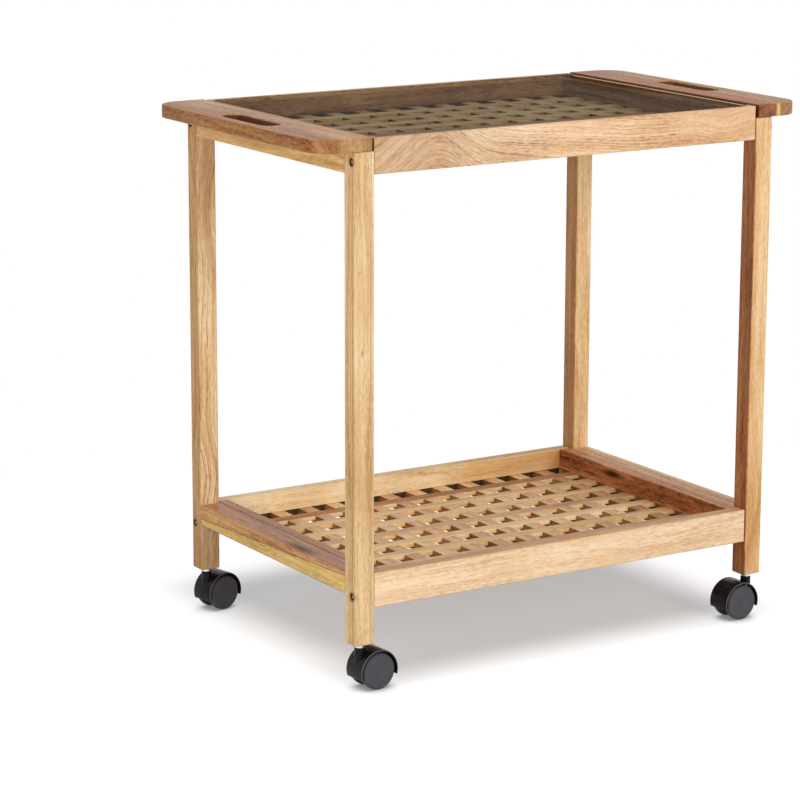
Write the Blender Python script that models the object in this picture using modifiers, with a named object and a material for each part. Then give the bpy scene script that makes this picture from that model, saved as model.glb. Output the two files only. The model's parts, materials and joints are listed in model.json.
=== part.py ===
"""Kitchen cart: two wooden end frames carry two slatted trays on twin-wheel casters.

Metres, +Z up. X runs along the cart, Y from its front (-) to its back (+), and the origin is
on the floor under the middle of the cart.
"""

import math

import bmesh
import bpy
from mathutils import Matrix, Vector

# Overall size
CART_LENGTH = 0.660
CART_DEPTH = 0.380
CART_HEIGHT = 0.620

# Clearances and overruns
JOINT_GAP = 0.0003
SLIDE_GAP = 0.0004
CUT_OVERRUN = 0.002
MERGE_DISTANCE = 0.00001

# Legs and end rails
LEG_WIDTH = 0.0245
LEG_DEPTH = 0.0225
BOARD_OVERHANG = 0.046
END_RAIL_HEIGHT = 0.0245
TENON_LENGTH = 0.010
TENON_WIDTH = 0.012
TENON_HEIGHT = 0.014
WOOD_EASE = 0.0009

# Handle boards
BOARD_THICKNESS = 0.015
BOARD_TRAY_GAP = 0.003
BOARD_CORNER_RADIUS = 0.032
SLOT_LENGTH = 0.108
SLOT_WIDTH = 0.025
SLOT_EDGE_MARGIN = 0.013

# Tray rails
RAIL_HEIGHT = 0.0395
RAIL_THICKNESS = 0.016
LOWER_TRAY_HEIGHT = 0.0955
UPPER_TRAY_STEP = 0.001
UPPER_SIDE_RAIL_DROP = 0.001

# Slatted bottoms, let into grooves in the tray rails
CROSS_SLATS = 12
LONG_SLATS = 8
SLAT_WIDTH = 0.0185
CROSS_SLAT_THICKNESS = 0.009
LONG_SLAT_THICKNESS = 0.0055
LATTICE_TOP_ABOVE_RAIL_FOOT = 0.0145
GROOVE_DEPTH = 0.005

# Smoked glass panel, let into a rebate in the upper tray
GLASS_THICKNESS = 0.0045
GLASS_LIP = 0.0055
GLASS_SLACK = 0.0035
REBATE_DEPTH = 0.0050
GLASS_EASE = 0.0006

# Frame bolts, through the legs into the ends of the long rails
BOLT_HEAD_RADIUS = 0.0041
BOLT_HEAD_HEIGHT = 0.0040
BOLT_HEAD_RECESS = 0.0010
BOLT_SHANK_RADIUS = 0.0025
BOLT_SHANK_LENGTH = 0.050
BOLT_SOCKET_RADIUS = 0.0020
BOLT_SOCKET_DEPTH = 0.0025
BOLT_FACE_DISTANCE = 0.007
BOLT_ABOVE_RAIL_FOOT = 0.0143

# Board screws, up through the upper end rails into the handle boards
SCREW_HEAD_RADIUS = 0.0040
SCREW_HEAD_HEIGHT = 0.0030
SCREW_SHANK_RADIUS = 0.0020
SCREW_BITE = 0.010
SCREW_RECESS = 0.0005
SCREW_SPREAD = 0.110

# Casters
CASTER_HEIGHT = 0.0535
CASTER_TRAIL = 0.017
WHEEL_RADIUS = 0.0213
WHEEL_FACE = 0.015
WHEEL_WIDTH = 0.0078
WHEEL_EDGE = 0.0016
WHEEL_HUB_RADIUS = 0.0070
WHEEL_HUB_INSET = 0.0012
AXLE_RADIUS = 0.0020
AXLE_END_COVER = 0.0018
HOOD_RADIUS = 0.0250
HOOD_WALL = 0.0023
HOOD_HALF_WIDTH = 0.016
HOOD_WEB_HALF_WIDTH = 0.003
HOOD_AXLE_BOSS_RADIUS = 0.0048
BOSS_RADIUS = 0.0060
BOSS_FOOT_HEIGHT = 0.0150
BOSS_TOP_HEIGHT = 0.0490
STEM_PIN_RADIUS = 0.0038
STEM_PIN_FOOT_HEIGHT = 0.034
STEM_COLLAR_RADIUS = 0.0055
STEM_INSERTION = 0.030
SOCKET_WALL = 0.0014
SOCKET_FLANGE_RADIUS = 0.0064
SOCKET_FLANGE_THICKNESS = 0.0009
SOCKET_OVERLENGTH = 0.002

# Directions and counts that have no length
HOOD_TRAILING_END_DEGREES = -15
HOOD_LEADING_END_DEGREES = 197
LEFT_FRONT_TURN_DEGREES = 3
LEFT_REAR_TURN_DEGREES = 11
RIGHT_TURN_DEGREES = 182
WHEEL_STEPS = 24
HOOD_STEPS = 32
SMALL_STEPS = 12
SCREW_STEPS = 8
CORNER_STEPS = 8
SLOT_STEPS = 10
SMOOTH_DEGREES = 35

# Planes that several pieces share
FRAME_HALF = CART_LENGTH / 2 - BOARD_OVERHANG
LEG_INNER = FRAME_HALF - LEG_WIDTH
DEPTH_HALF = CART_DEPTH / 2
LEG_MIDDLE_X = FRAME_HALF - LEG_WIDTH / 2
LEG_MIDDLE_Y = DEPTH_HALF - LEG_DEPTH / 2
BOARD_FOOT = CART_HEIGHT - BOARD_THICKNESS
UPPER_TRAY_FOOT = CART_HEIGHT - UPPER_TRAY_STEP - RAIL_HEIGHT
TRAY_INNER_X = LEG_INNER - RAIL_THICKNESS
TRAY_INNER_Y = DEPTH_HALF - RAIL_THICKNESS
AXLE_HEIGHT = WHEEL_RADIUS * math.cos(math.pi / WHEEL_STEPS)

SIDES = {"left": -1, "right": 1}
ENDS = {"front": -1, "rear": 1}
TRAYS = {"lower": LOWER_TRAY_HEIGHT, "upper": UPPER_TRAY_FOOT}

MATERIALS = {
    "leg_wood": ((0.60, 0.36, 0.17), 0.50, 0.0),
    "rail_wood": ((0.66, 0.41, 0.20), 0.50, 0.0),
    "board_wood": ((0.43, 0.22, 0.13), 0.48, 0.0),
    "slat_wood": ((0.56, 0.37, 0.21), 0.52, 0.0),
    "smoked_glass": ((0.10, 0.09, 0.06), 0.05, 0.0),
    "bright_steel": ((0.70, 0.70, 0.70), 0.25, 1.0),
    "black_plastic": ((0.012, 0.012, 0.013), 0.35, 0.0),
    "grey_plastic": ((0.06, 0.06, 0.065), 0.55, 0.0),
}


def clear_scene():
    """Remove every object of the open scene."""
    for item in list(bpy.data.objects):
        bpy.data.objects.remove(item, do_unlink=True)


def add_collection(name):
    """A new collection in the scene."""
    collection = bpy.data.collections.new(name)
    bpy.context.scene.collection.children.link(collection)
    return collection


def add_materials():
    """One Principled material for each finish."""
    made = {}
    for name, (colour, roughness, metallic) in MATERIALS.items():
        material = bpy.data.materials.new(name)
        material.use_nodes = True
        shader = material.node_tree.nodes["Principled BSDF"]
        shader.inputs["Base Color"].default_value = (*colour, 1.0)
        shader.inputs["Roughness"].default_value = roughness
        shader.inputs["Metallic"].default_value = metallic
        made[name] = material
    return made


clear_scene()
CART = add_collection("kitchen_cart")
CUTTERS = add_collection("kitchen_cart_cutters")
FINISHES = add_materials()


def move_to(item, collection):
    """Keep an object in one collection alone."""
    for old in list(item.users_collection):
        old.objects.unlink(item)
    collection.objects.link(item)


def keep(item, name, finish):
    """Name an object as a sub-part and give it its finish."""
    item.name = name
    item.data.name = name
    move_to(item, CART)
    item.data.materials.clear()
    item.data.materials.append(FINISHES[finish])
    return item


def as_cutter(item, name):
    """Turn an object into a hidden cutter or a hidden shape to be joined."""
    item.name = name
    move_to(item, CUTTERS)
    item.hide_render = True
    item.display_type = "WIRE"
    return item


def box(low, high):
    """A box between two corners, with its origin at its middle."""
    low, high = Vector(low), Vector(high)
    bpy.ops.mesh.primitive_cube_add(size=1, location=(low + high) / 2)
    item = bpy.context.object
    item.data.transform(Matrix.Diagonal((*(high - low), 1)))
    return item


def mirrored_box(side, end, low, high):
    """A box given for the right rear quarter, moved to the quarter that side and end name."""
    xs = sorted((side * low[0], side * high[0]))
    ys = sorted((end * low[1], end * high[1]))
    return box((xs[0], ys[0], low[2]), (xs[1], ys[1], high[2]))


def rod(start, end, radius, steps):
    """A closed cylinder from one point to another."""
    start, end = Vector(start), Vector(end)
    direction = end - start
    bpy.ops.mesh.primitive_cylinder_add(
        vertices=steps, radius=radius, depth=direction.length, location=(start + end) / 2,
        rotation=direction.to_track_quat("Z", "Y").to_euler())
    item = bpy.context.object
    smooth(item.data)
    return item


def smooth(mesh):
    """Smooth shading that keeps the real corners sharp."""
    mesh.shade_smooth()
    mesh.set_sharp_from_angle(angle=math.radians(SMOOTH_DEGREES))


def combine(item, other, operation):
    """Cut an object with another one, or join the two."""
    modifier = item.modifiers.new(operation.lower(), "BOOLEAN")
    modifier.operation = operation
    modifier.solver = "EXACT"
    modifier.object = other
    return item


def cut(item, *cutters):
    """Take the cutters out of an object."""
    for cutter in cutters:
        combine(item, as_cutter(cutter, item.name + "_cut"), "DIFFERENCE")
    return item


def join(item, *others):
    """Make one body of an object and the shapes that touch it."""
    for other in others:
        combine(item, as_cutter(other, item.name + "_add"), "UNION")
    return item


def ease(item, width, segments=1):
    """Ease the sharp edges of an object."""
    modifier = item.modifiers.new("ease", "BEVEL")
    modifier.width = width
    modifier.segments = segments
    modifier.limit_method = "ANGLE"
    modifier.angle_limit = math.radians(SMOOTH_DEGREES)
    modifier.use_clamp_overlap = True
    return item


def finished_mesh(item):
    """The mesh of an object with its modifiers applied."""
    bpy.context.view_layer.update()
    graph = bpy.context.evaluated_depsgraph_get()
    return bpy.data.meshes.new_from_object(item.evaluated_get(graph), depsgraph=graph)


def mesh_alone(item):
    """The finished mesh of an object in the scene's own frame; the object goes."""
    mesh = finished_mesh(item)
    mesh.transform(item.matrix_world)
    bpy.data.objects.remove(item, do_unlink=True)
    return mesh


def freeze(item):
    """Replace an object's mesh by its finished one."""
    mesh = finished_mesh(item)
    item.modifiers.clear()
    item.data = mesh
    return item


def turned(points, steps, is_ring=False):
    """A solid turned about Z from (radius, height) points that run down its outer side."""
    mesh = bpy.data.meshes.new("turned")
    vertices = [(radius, 0, height) for radius, height in points]
    edges = [(i, i + 1) for i in range(len(vertices) - 1)]
    if is_ring:
        edges.append((len(vertices) - 1, 0))
    mesh.from_pydata(vertices, edges, [])
    item = bpy.data.objects.new("turned", mesh)
    bpy.context.scene.collection.objects.link(item)
    modifier = item.modifiers.new("turn", "SCREW")
    modifier.axis = "Z"
    modifier.steps = steps
    modifier.render_steps = steps
    modifier.use_merge_vertices = True
    modifier.merge_threshold = MERGE_DISTANCE
    freeze(item)
    bpy.context.view_layer.update()
    smooth(item.data)
    return item


def arc(centre, radius, start, stop, steps):
    """Points on an arc in the XY plane, angles in degrees."""
    points = []
    for step in range(steps + 1):
        angle = math.radians(start + (stop - start) * step / steps)
        points.append((centre[0] + radius * math.cos(angle), centre[1] + radius * math.sin(angle)))
    return points


def plate(outlines, foot, thickness):
    """A flat plate from closed XY outlines; the second one is a hole in the first."""
    curve = bpy.data.curves.new("plate", "CURVE")
    curve.dimensions = "2D"
    curve.fill_mode = "BOTH"
    curve.extrude = thickness / 2
    for outline in outlines:
        spline = curve.splines.new("POLY")
        spline.points.add(len(outline) - 1)
        for point, (x, y) in zip(spline.points, outline):
            point.co = (x, y, 0, 1)
        spline.use_cyclic_u = True
    guide = bpy.data.objects.new("plate", curve)
    guide.location.z = foot + thickness / 2
    bpy.context.scene.collection.objects.link(guide)
    mesh = finished_mesh(guide)
    shape = bmesh.new()
    shape.from_mesh(mesh)
    bmesh.ops.remove_doubles(shape, verts=shape.verts, dist=MERGE_DISTANCE)
    bmesh.ops.recalc_face_normals(shape, faces=shape.faces)
    shape.to_mesh(mesh)
    shape.free()
    item = bpy.data.objects.new("plate", mesh)
    item.matrix_world = guide.matrix_world
    bpy.context.scene.collection.objects.link(item)
    bpy.data.objects.remove(guide, do_unlink=True)
    return item


def bolt_axes(side, end):
    """Height of the bolt through a leg for each tray, and its distance from the middle."""
    y = end * (DEPTH_HALF - BOLT_FACE_DISTANCE)
    return {tray: (side, y, foot + BOLT_ABOVE_RAIL_FOOT) for tray, foot in TRAYS.items()}


def end_rail_feet():
    """Underside of the end rail at each tray."""
    return {
        "lower": LOWER_TRAY_HEIGHT + RAIL_HEIGHT - END_RAIL_HEIGHT,
        "upper": BOARD_FOOT - JOINT_GAP - END_RAIL_HEIGHT,
    }


def tenon_box(side, end, foot, gap):
    """The stub tenon of an end rail, or with a gap the mortise for it."""
    middle = foot + END_RAIL_HEIGHT / 2
    inner = DEPTH_HALF - LEG_DEPTH
    return mirrored_box(
        side, end,
        (LEG_MIDDLE_X - TENON_WIDTH / 2 - gap, inner - CUT_OVERRUN, middle - TENON_HEIGHT / 2 - gap),
        (LEG_MIDDLE_X + TENON_WIDTH / 2 + gap, inner + TENON_LENGTH + gap,
         middle + TENON_HEIGHT / 2 + gap))


def make_leg(name, side, end):
    """A leg with mortises for the end rails, bolt holes and the bore for its caster socket."""
    leg = mirrored_box(side, end, (LEG_INNER, DEPTH_HALF - LEG_DEPTH, CASTER_HEIGHT),
                       (FRAME_HALF, DEPTH_HALF, BOARD_FOOT - JOINT_GAP))
    keep(leg, name, "leg_wood")
    ease(leg, WOOD_EASE)
    for foot in end_rail_feet().values():
        cut(leg, tenon_box(side, end, foot, JOINT_GAP))
    for _, y, z in bolt_axes(side, end).values():
        hole_end = LEG_INNER - CUT_OVERRUN
        seat = FRAME_HALF - BOLT_HEAD_RECESS - BOLT_HEAD_HEIGHT - JOINT_GAP
        cut(leg,
            rod((side * hole_end, y, z), (side * (seat + CUT_OVERRUN), y, z),
                BOLT_SHANK_RADIUS + JOINT_GAP, SMALL_STEPS),
            rod((side * seat, y, z), (side * (FRAME_HALF + CUT_OVERRUN), y, z),
                BOLT_HEAD_RADIUS + SLIDE_GAP, SMALL_STEPS))
    bore_top = CASTER_HEIGHT + STEM_INSERTION + SOCKET_OVERLENGTH + JOINT_GAP
    bore_radius = STEM_PIN_RADIUS + SLIDE_GAP + SOCKET_WALL + JOINT_GAP
    cut(leg, rod((side * LEG_MIDDLE_X, end * LEG_MIDDLE_Y, CASTER_HEIGHT - CUT_OVERRUN),
                 (side * LEG_MIDDLE_X, end * LEG_MIDDLE_Y, bore_top), bore_radius, SMALL_STEPS))
    return leg


def screw_places(side):
    """Where the board screws stand, by end."""
    return {end_name: (side * LEG_MIDDLE_X, end * SCREW_SPREAD) for end_name, end in ENDS.items()}


def make_end_rail(name, side, tray, foot):
    """A rail between the two legs of an end frame, with a stub tenon at each end."""
    half = DEPTH_HALF - LEG_DEPTH - JOINT_GAP
    rail = mirrored_box(side, 1, (LEG_INNER, -half, foot), (FRAME_HALF, half, foot + END_RAIL_HEIGHT))
    keep(rail, name, "leg_wood")
    ease(rail, WOOD_EASE)
    for end in ENDS.values():
        join(rail, tenon_box(side, end, foot, 0))
    if tray == "upper":
        for x, y in screw_places(side).values():
            head_top = foot + SCREW_RECESS + SCREW_HEAD_HEIGHT + JOINT_GAP
            cut(rail,
                rod((x, y, head_top - CUT_OVERRUN), (x, y, foot + END_RAIL_HEIGHT + CUT_OVERRUN),
                    SCREW_SHANK_RADIUS + JOINT_GAP, SCREW_STEPS),
                rod((x, y, foot - CUT_OVERRUN), (x, y, head_top),
                    SCREW_HEAD_RADIUS + JOINT_GAP, SCREW_STEPS))
    return rail


def slot_middle():
    """Distance of the hand slot's middle line from the middle of the cart."""
    return CART_LENGTH / 2 - SLOT_EDGE_MARGIN - SLOT_WIDTH / 2


def make_handle_board(name, side):
    """A board on top of an end frame, with round outer corners and a hand slot."""
    inner = LEG_INNER + BOARD_TRAY_GAP
    outer = CART_LENGTH / 2
    bend = BOARD_CORNER_RADIUS
    outline = [(inner, -DEPTH_HALF)]
    outline += arc((outer - bend, -DEPTH_HALF + bend), bend, -90, 0, CORNER_STEPS)
    outline += arc((outer - bend, DEPTH_HALF - bend), bend, 0, 90, CORNER_STEPS)
    outline += [(inner, DEPTH_HALF)]
    reach = SLOT_LENGTH / 2 - SLOT_WIDTH / 2
    slot = arc((slot_middle(), reach), SLOT_WIDTH / 2, 0, 180, SLOT_STEPS)
    slot += arc((slot_middle(), -reach), SLOT_WIDTH / 2, 180, 360, SLOT_STEPS)
    outlines = [[(side * x, y) for x, y in points] for points in (outline, slot)]
    board = keep(plate(outlines, BOARD_FOOT, BOARD_THICKNESS), name, "board_wood")
    ease(board, WOOD_EASE)
    for x, y in screw_places(side).values():
        cut(board, rod((x, y, BOARD_FOOT - CUT_OVERRUN), (x, y, BOARD_FOOT + SCREW_BITE + JOINT_GAP),
                       SCREW_SHANK_RADIUS + JOINT_GAP, SCREW_STEPS))
    return board


def groove_heights(foot):
    """Lower and upper side of the groove that takes the slats' ends."""
    top = foot + LATTICE_TOP_ABOVE_RAIL_FOOT
    return top - CROSS_SLAT_THICKNESS - JOINT_GAP, top + JOINT_GAP


def rebate_floor():
    """Height of the ledge that carries the glass."""
    return UPPER_TRAY_FOOT + RAIL_HEIGHT - REBATE_DEPTH


def make_long_rail(name, end, tray, foot):
    """A front or back tray rail, from leg to leg."""
    half = LEG_INNER - JOINT_GAP
    rail = mirrored_box(1, end, (-half, TRAY_INNER_Y, foot), (half, DEPTH_HALF, foot + RAIL_HEIGHT))
    keep(rail, name, "rail_wood")
    ease(rail, WOOD_EASE)
    low, high = groove_heights(foot)
    cut(rail, mirrored_box(1, end, (-TRAY_INNER_X, TRAY_INNER_Y - CUT_OVERRUN, low),
                           (TRAY_INNER_X, TRAY_INNER_Y + GROOVE_DEPTH, high)))
    if tray == "upper":
        reach = LEG_INNER - GLASS_LIP
        cut(rail, mirrored_box(1, end, (-reach, TRAY_INNER_Y - CUT_OVERRUN, rebate_floor()),
                               (reach, DEPTH_HALF - GLASS_LIP, foot + RAIL_HEIGHT + CUT_OVERRUN)))
    for side in SIDES.values():
        _, y, z = bolt_axes(side, end)[tray]
        tip = FRAME_HALF - BOLT_HEAD_RECESS - BOLT_HEAD_HEIGHT - BOLT_SHANK_LENGTH - JOINT_GAP
        cut(rail, rod((side * tip, y, z), (side * (LEG_INNER + CUT_OVERRUN), y, z),
                      BOLT_SHANK_RADIUS + JOINT_GAP, SMALL_STEPS))
    return rail


def make_side_rail(name, side, tray, foot):
    """A tray rail between the front and back rails, against the end frame."""
    half = TRAY_INNER_Y - JOINT_GAP
    drop = UPPER_SIDE_RAIL_DROP if tray == "upper" else 0
    rail = mirrored_box(side, 1, (TRAY_INNER_X, -half, foot),
                        (LEG_INNER - JOINT_GAP, half, foot + RAIL_HEIGHT - drop))
    keep(rail, name, "rail_wood")
    ease(rail, WOOD_EASE)
    low, high = groove_heights(foot)
    cut(rail, mirrored_box(side, 1, (TRAY_INNER_X - CUT_OVERRUN, -half - CUT_OVERRUN, low),
                           (TRAY_INNER_X + GROOVE_DEPTH, half + CUT_OVERRUN, high)))
    if tray == "upper":
        cut(rail, mirrored_box(
            side, 1, (TRAY_INNER_X - CUT_OVERRUN, -half - CUT_OVERRUN, rebate_floor()),
            (LEG_INNER - GLASS_LIP, half + CUT_OVERRUN, foot + RAIL_HEIGHT + CUT_OVERRUN)))
    return rail


def slat_centres(inner_half, count):
    """Even places for the slats, with the same opening beside the rails as between slats."""
    opening = (2 * inner_half - count * SLAT_WIDTH) / (count + 1)
    return [-inner_half + opening + SLAT_WIDTH / 2 + i * (opening + SLAT_WIDTH)
            for i in range(count)]


def slat_row(centres, axis, reach, foot, top):
    """One mesh that holds a row of separate slats; axis 0 runs along X and 1 along Y."""
    shape = bmesh.new()
    for centre in centres:
        size = [2 * reach, SLAT_WIDTH, top - foot]
        place = [0, centre, (foot + top) / 2]
        if axis == 1:
            size[0], size[1] = size[1], size[0]
            place[0], place[1] = place[1], place[0]
        matrix = Matrix.Translation(place) @ Matrix.Diagonal((*size, 1))
        bmesh.ops.create_cube(shape, size=1, matrix=matrix)
    mesh = bpy.data.meshes.new("slats")
    shape.to_mesh(mesh)
    shape.free()
    item = bpy.data.objects.new("slats", mesh)
    bpy.context.scene.collection.objects.link(item)
    return item


def make_lattice(name, foot):
    """The slatted bottom of a tray: long slats halved into deeper cross slats."""
    top = foot + LATTICE_TOP_ABOVE_RAIL_FOOT
    tip = GROOVE_DEPTH - SLIDE_GAP
    cross = slat_row(slat_centres(TRAY_INNER_X, CROSS_SLATS), 1, TRAY_INNER_Y + tip,
                     top - CROSS_SLAT_THICKNESS, top)
    long = slat_row(slat_centres(TRAY_INNER_Y, LONG_SLATS), 0, TRAY_INNER_X + tip,
                    top - LONG_SLAT_THICKNESS, top)
    return join(keep(cross, name, "slat_wood"), long)


def make_glass():
    """The glass panel that lies in the upper tray's rebate, slid to the left in its slack."""
    x = LEG_INNER - GLASS_LIP - JOINT_GAP
    y = DEPTH_HALF - GLASS_LIP - JOINT_GAP
    foot = rebate_floor() + JOINT_GAP
    panel = box((-x, -y, foot), (x - GLASS_SLACK, y, foot + GLASS_THICKNESS))
    return ease(keep(panel, "glass_panel", "smoked_glass"), GLASS_EASE)


def fastener(head_radius, head_height, shank_radius, length, socket_radius, socket_depth, steps):
    """A screw or bolt with its head up and its tip down, the underside of the head at zero."""
    return turned([
        (0, head_height - socket_depth), (socket_radius, head_height - socket_depth),
        (socket_radius, head_height), (head_radius, head_height), (head_radius, 0),
        (shank_radius, 0), (shank_radius, shank_radius - length), (0, -length),
    ], steps)


def make_frame_bolts():
    """Eight bolts, one through each leg at each tray."""
    for side_name, side in SIDES.items():
        for end_name, end in ENDS.items():
            for tray, (_, y, z) in bolt_axes(side, end).items():
                bolt = fastener(BOLT_HEAD_RADIUS, BOLT_HEAD_HEIGHT, BOLT_SHANK_RADIUS,
                                BOLT_SHANK_LENGTH, BOLT_SOCKET_RADIUS, BOLT_SOCKET_DEPTH,
                                SMALL_STEPS)
                keep(bolt, f"{side_name}_{end_name}_{tray}_bolt", "bright_steel")
                bolt.rotation_euler = Vector((side, 0, 0)).to_track_quat("Z", "Y").to_euler()
                x = FRAME_HALF - BOLT_HEAD_RECESS - BOLT_HEAD_HEIGHT
                bolt.location = (side * x, y, z)


def make_board_screws():
    """Four screws that hold the handle boards from below."""
    rail_foot = end_rail_feet()["upper"]
    seat = rail_foot + SCREW_RECESS + SCREW_HEAD_HEIGHT
    length = BOARD_FOOT + SCREW_BITE - seat
    for side_name, side in SIDES.items():
        for end_name, (x, y) in screw_places(side).items():
            screw = fastener(SCREW_HEAD_RADIUS, SCREW_HEAD_HEIGHT, SCREW_SHANK_RADIUS, length,
                             SCREW_SHANK_RADIUS / 2, SCREW_HEAD_HEIGHT / 2, SCREW_STEPS)
            keep(screw, f"{side_name}_board_{end_name}_screw", "bright_steel")
            screw.rotation_euler = (math.pi, 0, 0)
            screw.location = (x, y, seat)


def wedge(start_degrees, radius, half_width):
    """A box with a corner on the wheel axle, covering a quarter turn from an angle."""
    item = box((0, -half_width, 0), (radius, half_width, radius))
    turn = Matrix.Rotation(-math.radians(start_degrees), 4, "Y")
    item.data.transform(turn @ Matrix.Translation(item.location))
    item.location = (CASTER_TRAIL, 0, AXLE_HEIGHT)
    return item


def across(radius, half_width, steps, x=CASTER_TRAIL, z=AXLE_HEIGHT):
    """A cylinder along the axle's direction, centred on the caster's middle plane."""
    return rod((x, -half_width, z), (x, half_width, z), radius, steps)


def hood_mesh():
    """Arched hood over both wheels, with its web, axle boss and stem boss."""
    hood = across(HOOD_RADIUS, HOOD_HALF_WIDTH, HOOD_STEPS)
    hood.name = "hood_shape"
    cut(hood, across(HOOD_RADIUS - HOOD_WALL, HOOD_HALF_WIDTH + CUT_OVERRUN, HOOD_STEPS))
    join(hood, across(HOOD_RADIUS - HOOD_WALL / 2, HOOD_WEB_HALF_WIDTH, HOOD_STEPS))
    reach = HOOD_RADIUS + CUT_OVERRUN
    width = HOOD_HALF_WIDTH + CUT_OVERRUN
    cut(hood, wedge(HOOD_LEADING_END_DEGREES, reach, width),
        wedge(HOOD_TRAILING_END_DEGREES - 90, reach, width))
    wheel_inner = WHEEL_FACE - WHEEL_WIDTH
    join(hood, rod((0, 0, BOSS_FOOT_HEIGHT), (0, 0, BOSS_TOP_HEIGHT), BOSS_RADIUS, SMALL_STEPS),
         across(HOOD_AXLE_BOSS_RADIUS, wheel_inner - JOINT_GAP, SMALL_STEPS))
    cut(hood, rod((0, 0, STEM_PIN_FOOT_HEIGHT - JOINT_GAP), (0, 0, BOSS_TOP_HEIGHT + CUT_OVERRUN),
                  STEM_PIN_RADIUS + JOINT_GAP, SMALL_STEPS),
        across(AXLE_RADIUS + JOINT_GAP, width, SMALL_STEPS))
    mesh = mesh_alone(hood)
    smooth(mesh)
    return mesh


def wheel_mesh():
    """A wheel whose axis is Z, with its outer face up and the caster's middle plane at zero."""
    inner = WHEEL_FACE - WHEEL_WIDTH
    bore_end = WHEEL_FACE - AXLE_END_COVER + JOINT_GAP
    wheel = turned([
        (0, WHEEL_FACE),
        (WHEEL_RADIUS - WHEEL_EDGE, WHEEL_FACE),
        (WHEEL_RADIUS, WHEEL_FACE - WHEEL_EDGE),
        (WHEEL_RADIUS, inner + WHEEL_HUB_INSET),
        (WHEEL_HUB_RADIUS, inner + WHEEL_HUB_INSET),
        (WHEEL_HUB_RADIUS, inner),
        (AXLE_RADIUS + JOINT_GAP, inner),
        (AXLE_RADIUS + JOINT_GAP, bore_end),
        (0, bore_end),
    ], WHEEL_STEPS)
    wheel.rotation_euler.z = math.pi / WHEEL_STEPS
    return mesh_alone(wheel)


def stem_mesh():
    """The steel stem: a pin in the hood's boss, a collar and a pin in the leg's socket."""
    collar_top = CASTER_HEIGHT - 2 * JOINT_GAP - SOCKET_FLANGE_THICKNESS
    collar_foot = BOSS_TOP_HEIGHT + JOINT_GAP
    stem = turned([
        (0, CASTER_HEIGHT + STEM_INSERTION), (STEM_PIN_RADIUS, CASTER_HEIGHT + STEM_INSERTION),
        (STEM_PIN_RADIUS, collar_top), (STEM_COLLAR_RADIUS, collar_top),
        (STEM_COLLAR_RADIUS, collar_foot), (STEM_PIN_RADIUS, collar_foot),
        (STEM_PIN_RADIUS, STEM_PIN_FOOT_HEIGHT), (0, STEM_PIN_FOOT_HEIGHT),
    ], SMALL_STEPS)
    return mesh_alone(stem)


def socket_mesh():
    """The flanged sleeve in the leg's foot that the stem turns in."""
    bore = STEM_PIN_RADIUS + SLIDE_GAP
    top = CASTER_HEIGHT + STEM_INSERTION + SOCKET_OVERLENGTH
    seat = CASTER_HEIGHT - JOINT_GAP
    foot = seat - SOCKET_FLANGE_THICKNESS
    socket = turned([
        (bore, top), (bore + SOCKET_WALL, top), (bore + SOCKET_WALL, seat),
        (SOCKET_FLANGE_RADIUS, seat), (SOCKET_FLANGE_RADIUS, foot), (bore, foot),
    ], SMALL_STEPS, is_ring=True)
    return mesh_alone(socket)


def axle_mesh():
    """The pin that carries both wheels."""
    return mesh_alone(across(AXLE_RADIUS, WHEEL_FACE - AXLE_END_COVER, SMALL_STEPS, x=0, z=0))


def add_empty(name, location, parent=None, turn=0.0):
    """An empty on a joint's axis."""
    empty = bpy.data.objects.new(name, None)
    empty.location = location
    empty.rotation_euler.z = turn
    empty.parent = parent
    CART.objects.link(empty)
    return empty


def add_shared(name, mesh, finish, parent):
    """A sub-part that shares its mesh with its copies on the other casters."""
    item = bpy.data.objects.new(name, mesh)
    if not mesh.materials:
        mesh.materials.append(FINISHES[finish])
    item.parent = parent
    CART.objects.link(item)
    return item


def make_casters():
    """Four casters that swivel about their stems; their wheels spin on the axles."""
    hood, wheel, stem = hood_mesh(), wheel_mesh(), stem_mesh()
    socket, axle = socket_mesh(), axle_mesh()
    turns = {
        ("left", "front"): LEFT_FRONT_TURN_DEGREES, ("left", "rear"): LEFT_REAR_TURN_DEGREES,
        ("right", "front"): RIGHT_TURN_DEGREES, ("right", "rear"): RIGHT_TURN_DEGREES,
    }
    for (side_name, end_name), degrees in turns.items():
        name = f"{side_name}_{end_name}_caster"
        foot = (SIDES[side_name] * LEG_MIDDLE_X, ENDS[end_name] * LEG_MIDDLE_Y, 0)
        seat = add_empty(name + "_seat", foot)
        add_shared(name + "_socket", socket, "bright_steel", seat)
        pivot = add_empty(name + "_swivel", (0, 0, 0), seat, math.radians(degrees))
        add_shared(name + "_stem", stem, "bright_steel", pivot)
        add_shared(name + "_hood", hood, "black_plastic", pivot)
        hub = add_empty(name + "_axis", (CASTER_TRAIL, 0, AXLE_HEIGHT), pivot)
        add_shared(name + "_axle", axle, "bright_steel", hub)
        for wheel_name, facing in (("right_wheel", -1), ("left_wheel", 1)):
            copy = add_shared(f"{name}_{wheel_name}", wheel, "grey_plastic", hub)
            copy.rotation_euler.x = -facing * math.pi / 2


def make_end_frames():
    """Legs, end rails and handle boards."""
    for side_name, side in SIDES.items():
        for end_name, end in ENDS.items():
            make_leg(f"{side_name}_{end_name}_leg", side, end)
        for tray, foot in end_rail_feet().items():
            make_end_rail(f"{side_name}_{tray}_end_rail", side, tray, foot)
        make_handle_board(f"{side_name}_handle_board", side)


def make_trays():
    """Tray rails and slatted bottoms."""
    for tray, foot in TRAYS.items():
        for end_name, end in ENDS.items():
            make_long_rail(f"{tray}_{end_name}_rail", end, tray, foot)
        for side_name, side in SIDES.items():
            make_side_rail(f"{tray}_{side_name}_rail", side, tray, foot)
        make_lattice(f"{tray}_lattice", foot)


make_end_frames()
make_trays()
make_glass()
make_frame_bolts()
make_board_screws()
make_casters()
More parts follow.
